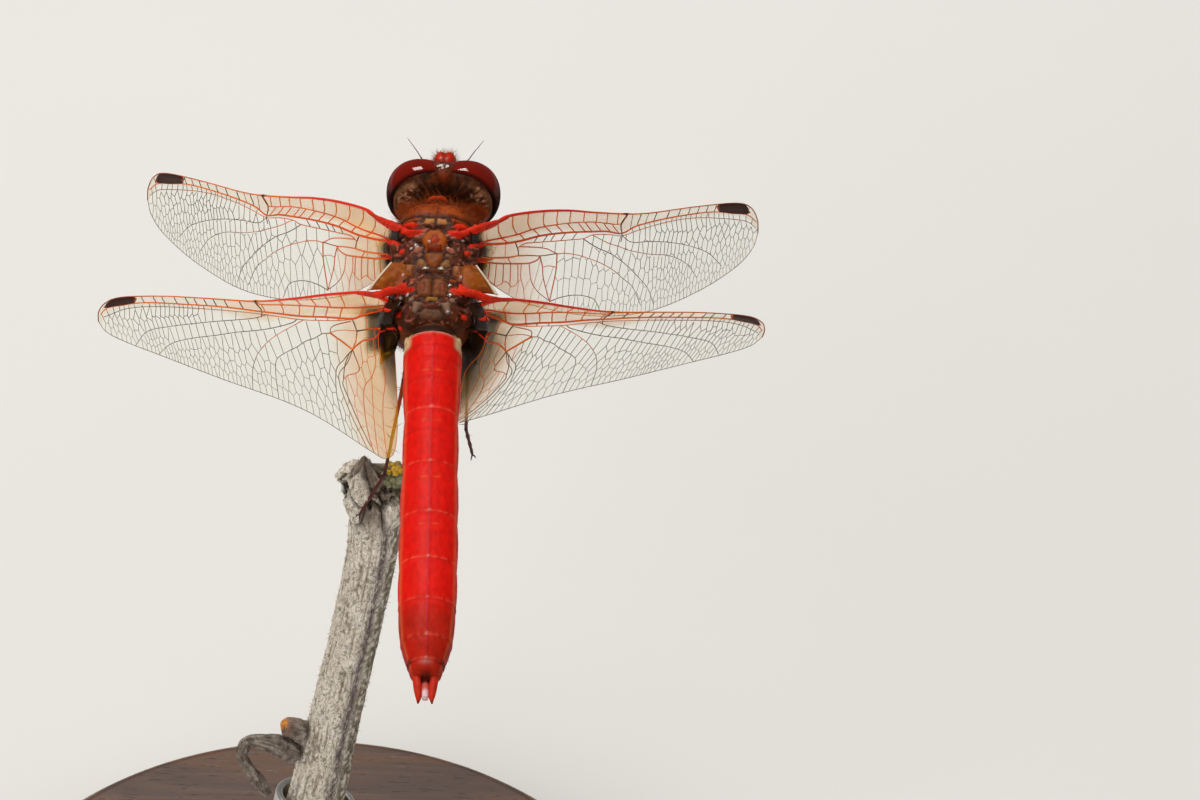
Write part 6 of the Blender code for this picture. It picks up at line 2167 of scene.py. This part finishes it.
STEEL = steel_finish()
cut_end = np.array(TWIG[-1][0])
axis = np.array(TWIG[-2][0]) - cut_end
axis /= np.linalg.norm(axis)
bottom = cut_end - axis * (JOINT_GAP + FERRULE_FLOOR)
inner = FERRULE_RADIUS - FERRULE_WALL
cup = rounded_profile(((0.02, 0.0), (FERRULE_RADIUS, 0.0), (FERRULE_RADIUS, FERRULE_HEIGHT), (inner, FERRULE_HEIGHT),
                       (inner, FERRULE_FLOOR), (0.02, FERRULE_FLOOR)), 0.14)
points, faces = lathe(cup, bottom, axis, 128)
ferrule = make_mesh("ferrule_steel", points * MM, faces)
ferrule.data.materials.append(STEEL)
settle(ferrule, ["stand_ferrule"])

rod_top = bottom - axis * JOINT_GAP
foot = rod_top - axis * ROD_FOOT_SHIFT
foot[2] = base_high.z + JOINT_GAP
bend = np.array((foot[0], foot[1], rod_top[2] - ROD_BEND_DROP))
points, faces = tube_shell((foot, bend, rod_top), (ROD_RADIUS,) * 2, 48, 24)
rod = make_mesh("rod_steel", points * MM, faces)
rod.data.materials.append(STEEL)
settle(rod, ["stand_rod"])

# %% [markdown]
# The stage is a plain pale floor under soft light: a key lamp high in front of the insect, whose mirror image
# gives the eyes their glints, a broad fill beside the camera and a weak lamp from the right. The last two show
# no mirror image.

# %% Floor, lamps and camera
FLOOR_HALF = 1.2
CAMERA_ELEVATION = 37.0
CAMERA_ROLL = 2.0
CAMERA_DISTANCE = 420.0
CAMERA_ASIDE = 9.25
CAMERA_BELOW = 5.78
CAMERA_LENS = 226.8
CAMERA_NEAR = 0.01
SKY_COLOUR, SKY_STRENGTH = (0.95, 0.93, 0.90, 1), 0.17
# Each lamp: the side it comes from, distance and size in millimetres, power in watts, colour, seen as a mirror image
LAMPS = {
    "key": ((-0.15, 0.49, 0.86), 500, 165, 2.0, (1.0, 0.97, 0.92), True),
    "fill": ((-0.6, -0.85, 0.55), 600, 420, 1.9, (1.0, 0.98, 0.95), False),
    "side": ((0.9, -0.3, 0.5), 600, 300, 0.5, (1, 1, 1), False),
}


def floor_finish():
    """Matt pale paint with the faintest mottle."""
    finish = Finish("floor", roughness=0.8)
    cloud = finish.grain(finish.place(), 0.02)
    return finish.wear(Base_Color=finish.blend(cloud, (0.74, 0.735, 0.72), (0.78, 0.775, 0.76)),
                       Roughness=finish.between(cloud, 0.72, 0.88))


corners = [(x * FLOOR_HALF, y * FLOOR_HALF, 0) for x, y in ((-1, -1), (1, -1), (1, 1), (-1, 1))]
floor = make_mesh("floor", corners, [(0, 1, 2, 3)])
floor.data.materials.append(floor_finish())

elevation, roll = math.radians(CAMERA_ELEVATION), math.radians(CAMERA_ROLL)
level = Vector((1, 0, 0))
upward = Vector((0, math.sin(elevation), math.cos(elevation)))
backward = Vector((0, -math.cos(elevation), math.sin(elevation)))
right = level * math.cos(roll) + upward * math.sin(roll)
up = upward * math.cos(roll) - level * math.sin(roll)
eye_point = BODY_ORIGIN + CAMERA_ASIDE * right - CAMERA_BELOW * up + CAMERA_DISTANCE * backward
camera_data = bpy.data.cameras.new("camera")
camera_data.lens = CAMERA_LENS
camera_data.clip_start = CAMERA_NEAR
camera = bpy.data.objects.new("camera", camera_data)
camera.matrix_world = Matrix.Translation(eye_point * MM) @ Matrix((right, up, backward)).transposed().to_4x4()
bpy.context.scene.collection.objects.link(camera)
bpy.context.scene.camera = camera


def add_lamp(name, direction, distance, size, power, colour, mirrored):
    """A square soft lamp that looks at the insect."""
    data = bpy.data.lights.new(name, "AREA")
    data.size = size * MM
    data.energy = power
    data.color = colour
    lamp = bpy.data.objects.new(name, data)
    away = Vector(direction).normalized()
    lamp.location = (BODY_ORIGIN + away * distance) * MM
    lamp.rotation_mode = "QUATERNION"
    lamp.rotation_quaternion = away.to_track_quat("Z", "Y")
    lamp.visible_glossy = mirrored
    bpy.context.scene.collection.objects.link(lamp)


for name, lamp in LAMPS.items():
    add_lamp(name, *lamp)
world = bpy.data.worlds.new("studio")
world.use_nodes = True
sky = world.node_tree.nodes["Background"]
sky.inputs["Color"].default_value = SKY_COLOUR
sky.inputs["Strength"].default_value = SKY_STRENGTH
bpy.context.scene.world = world
bpy.context.scene.view_settings.view_transform = "Standard"
print("camera", round((camera.location / MM - BODY_ORIGIN).length), "mm away; lamps", *LAMPS)
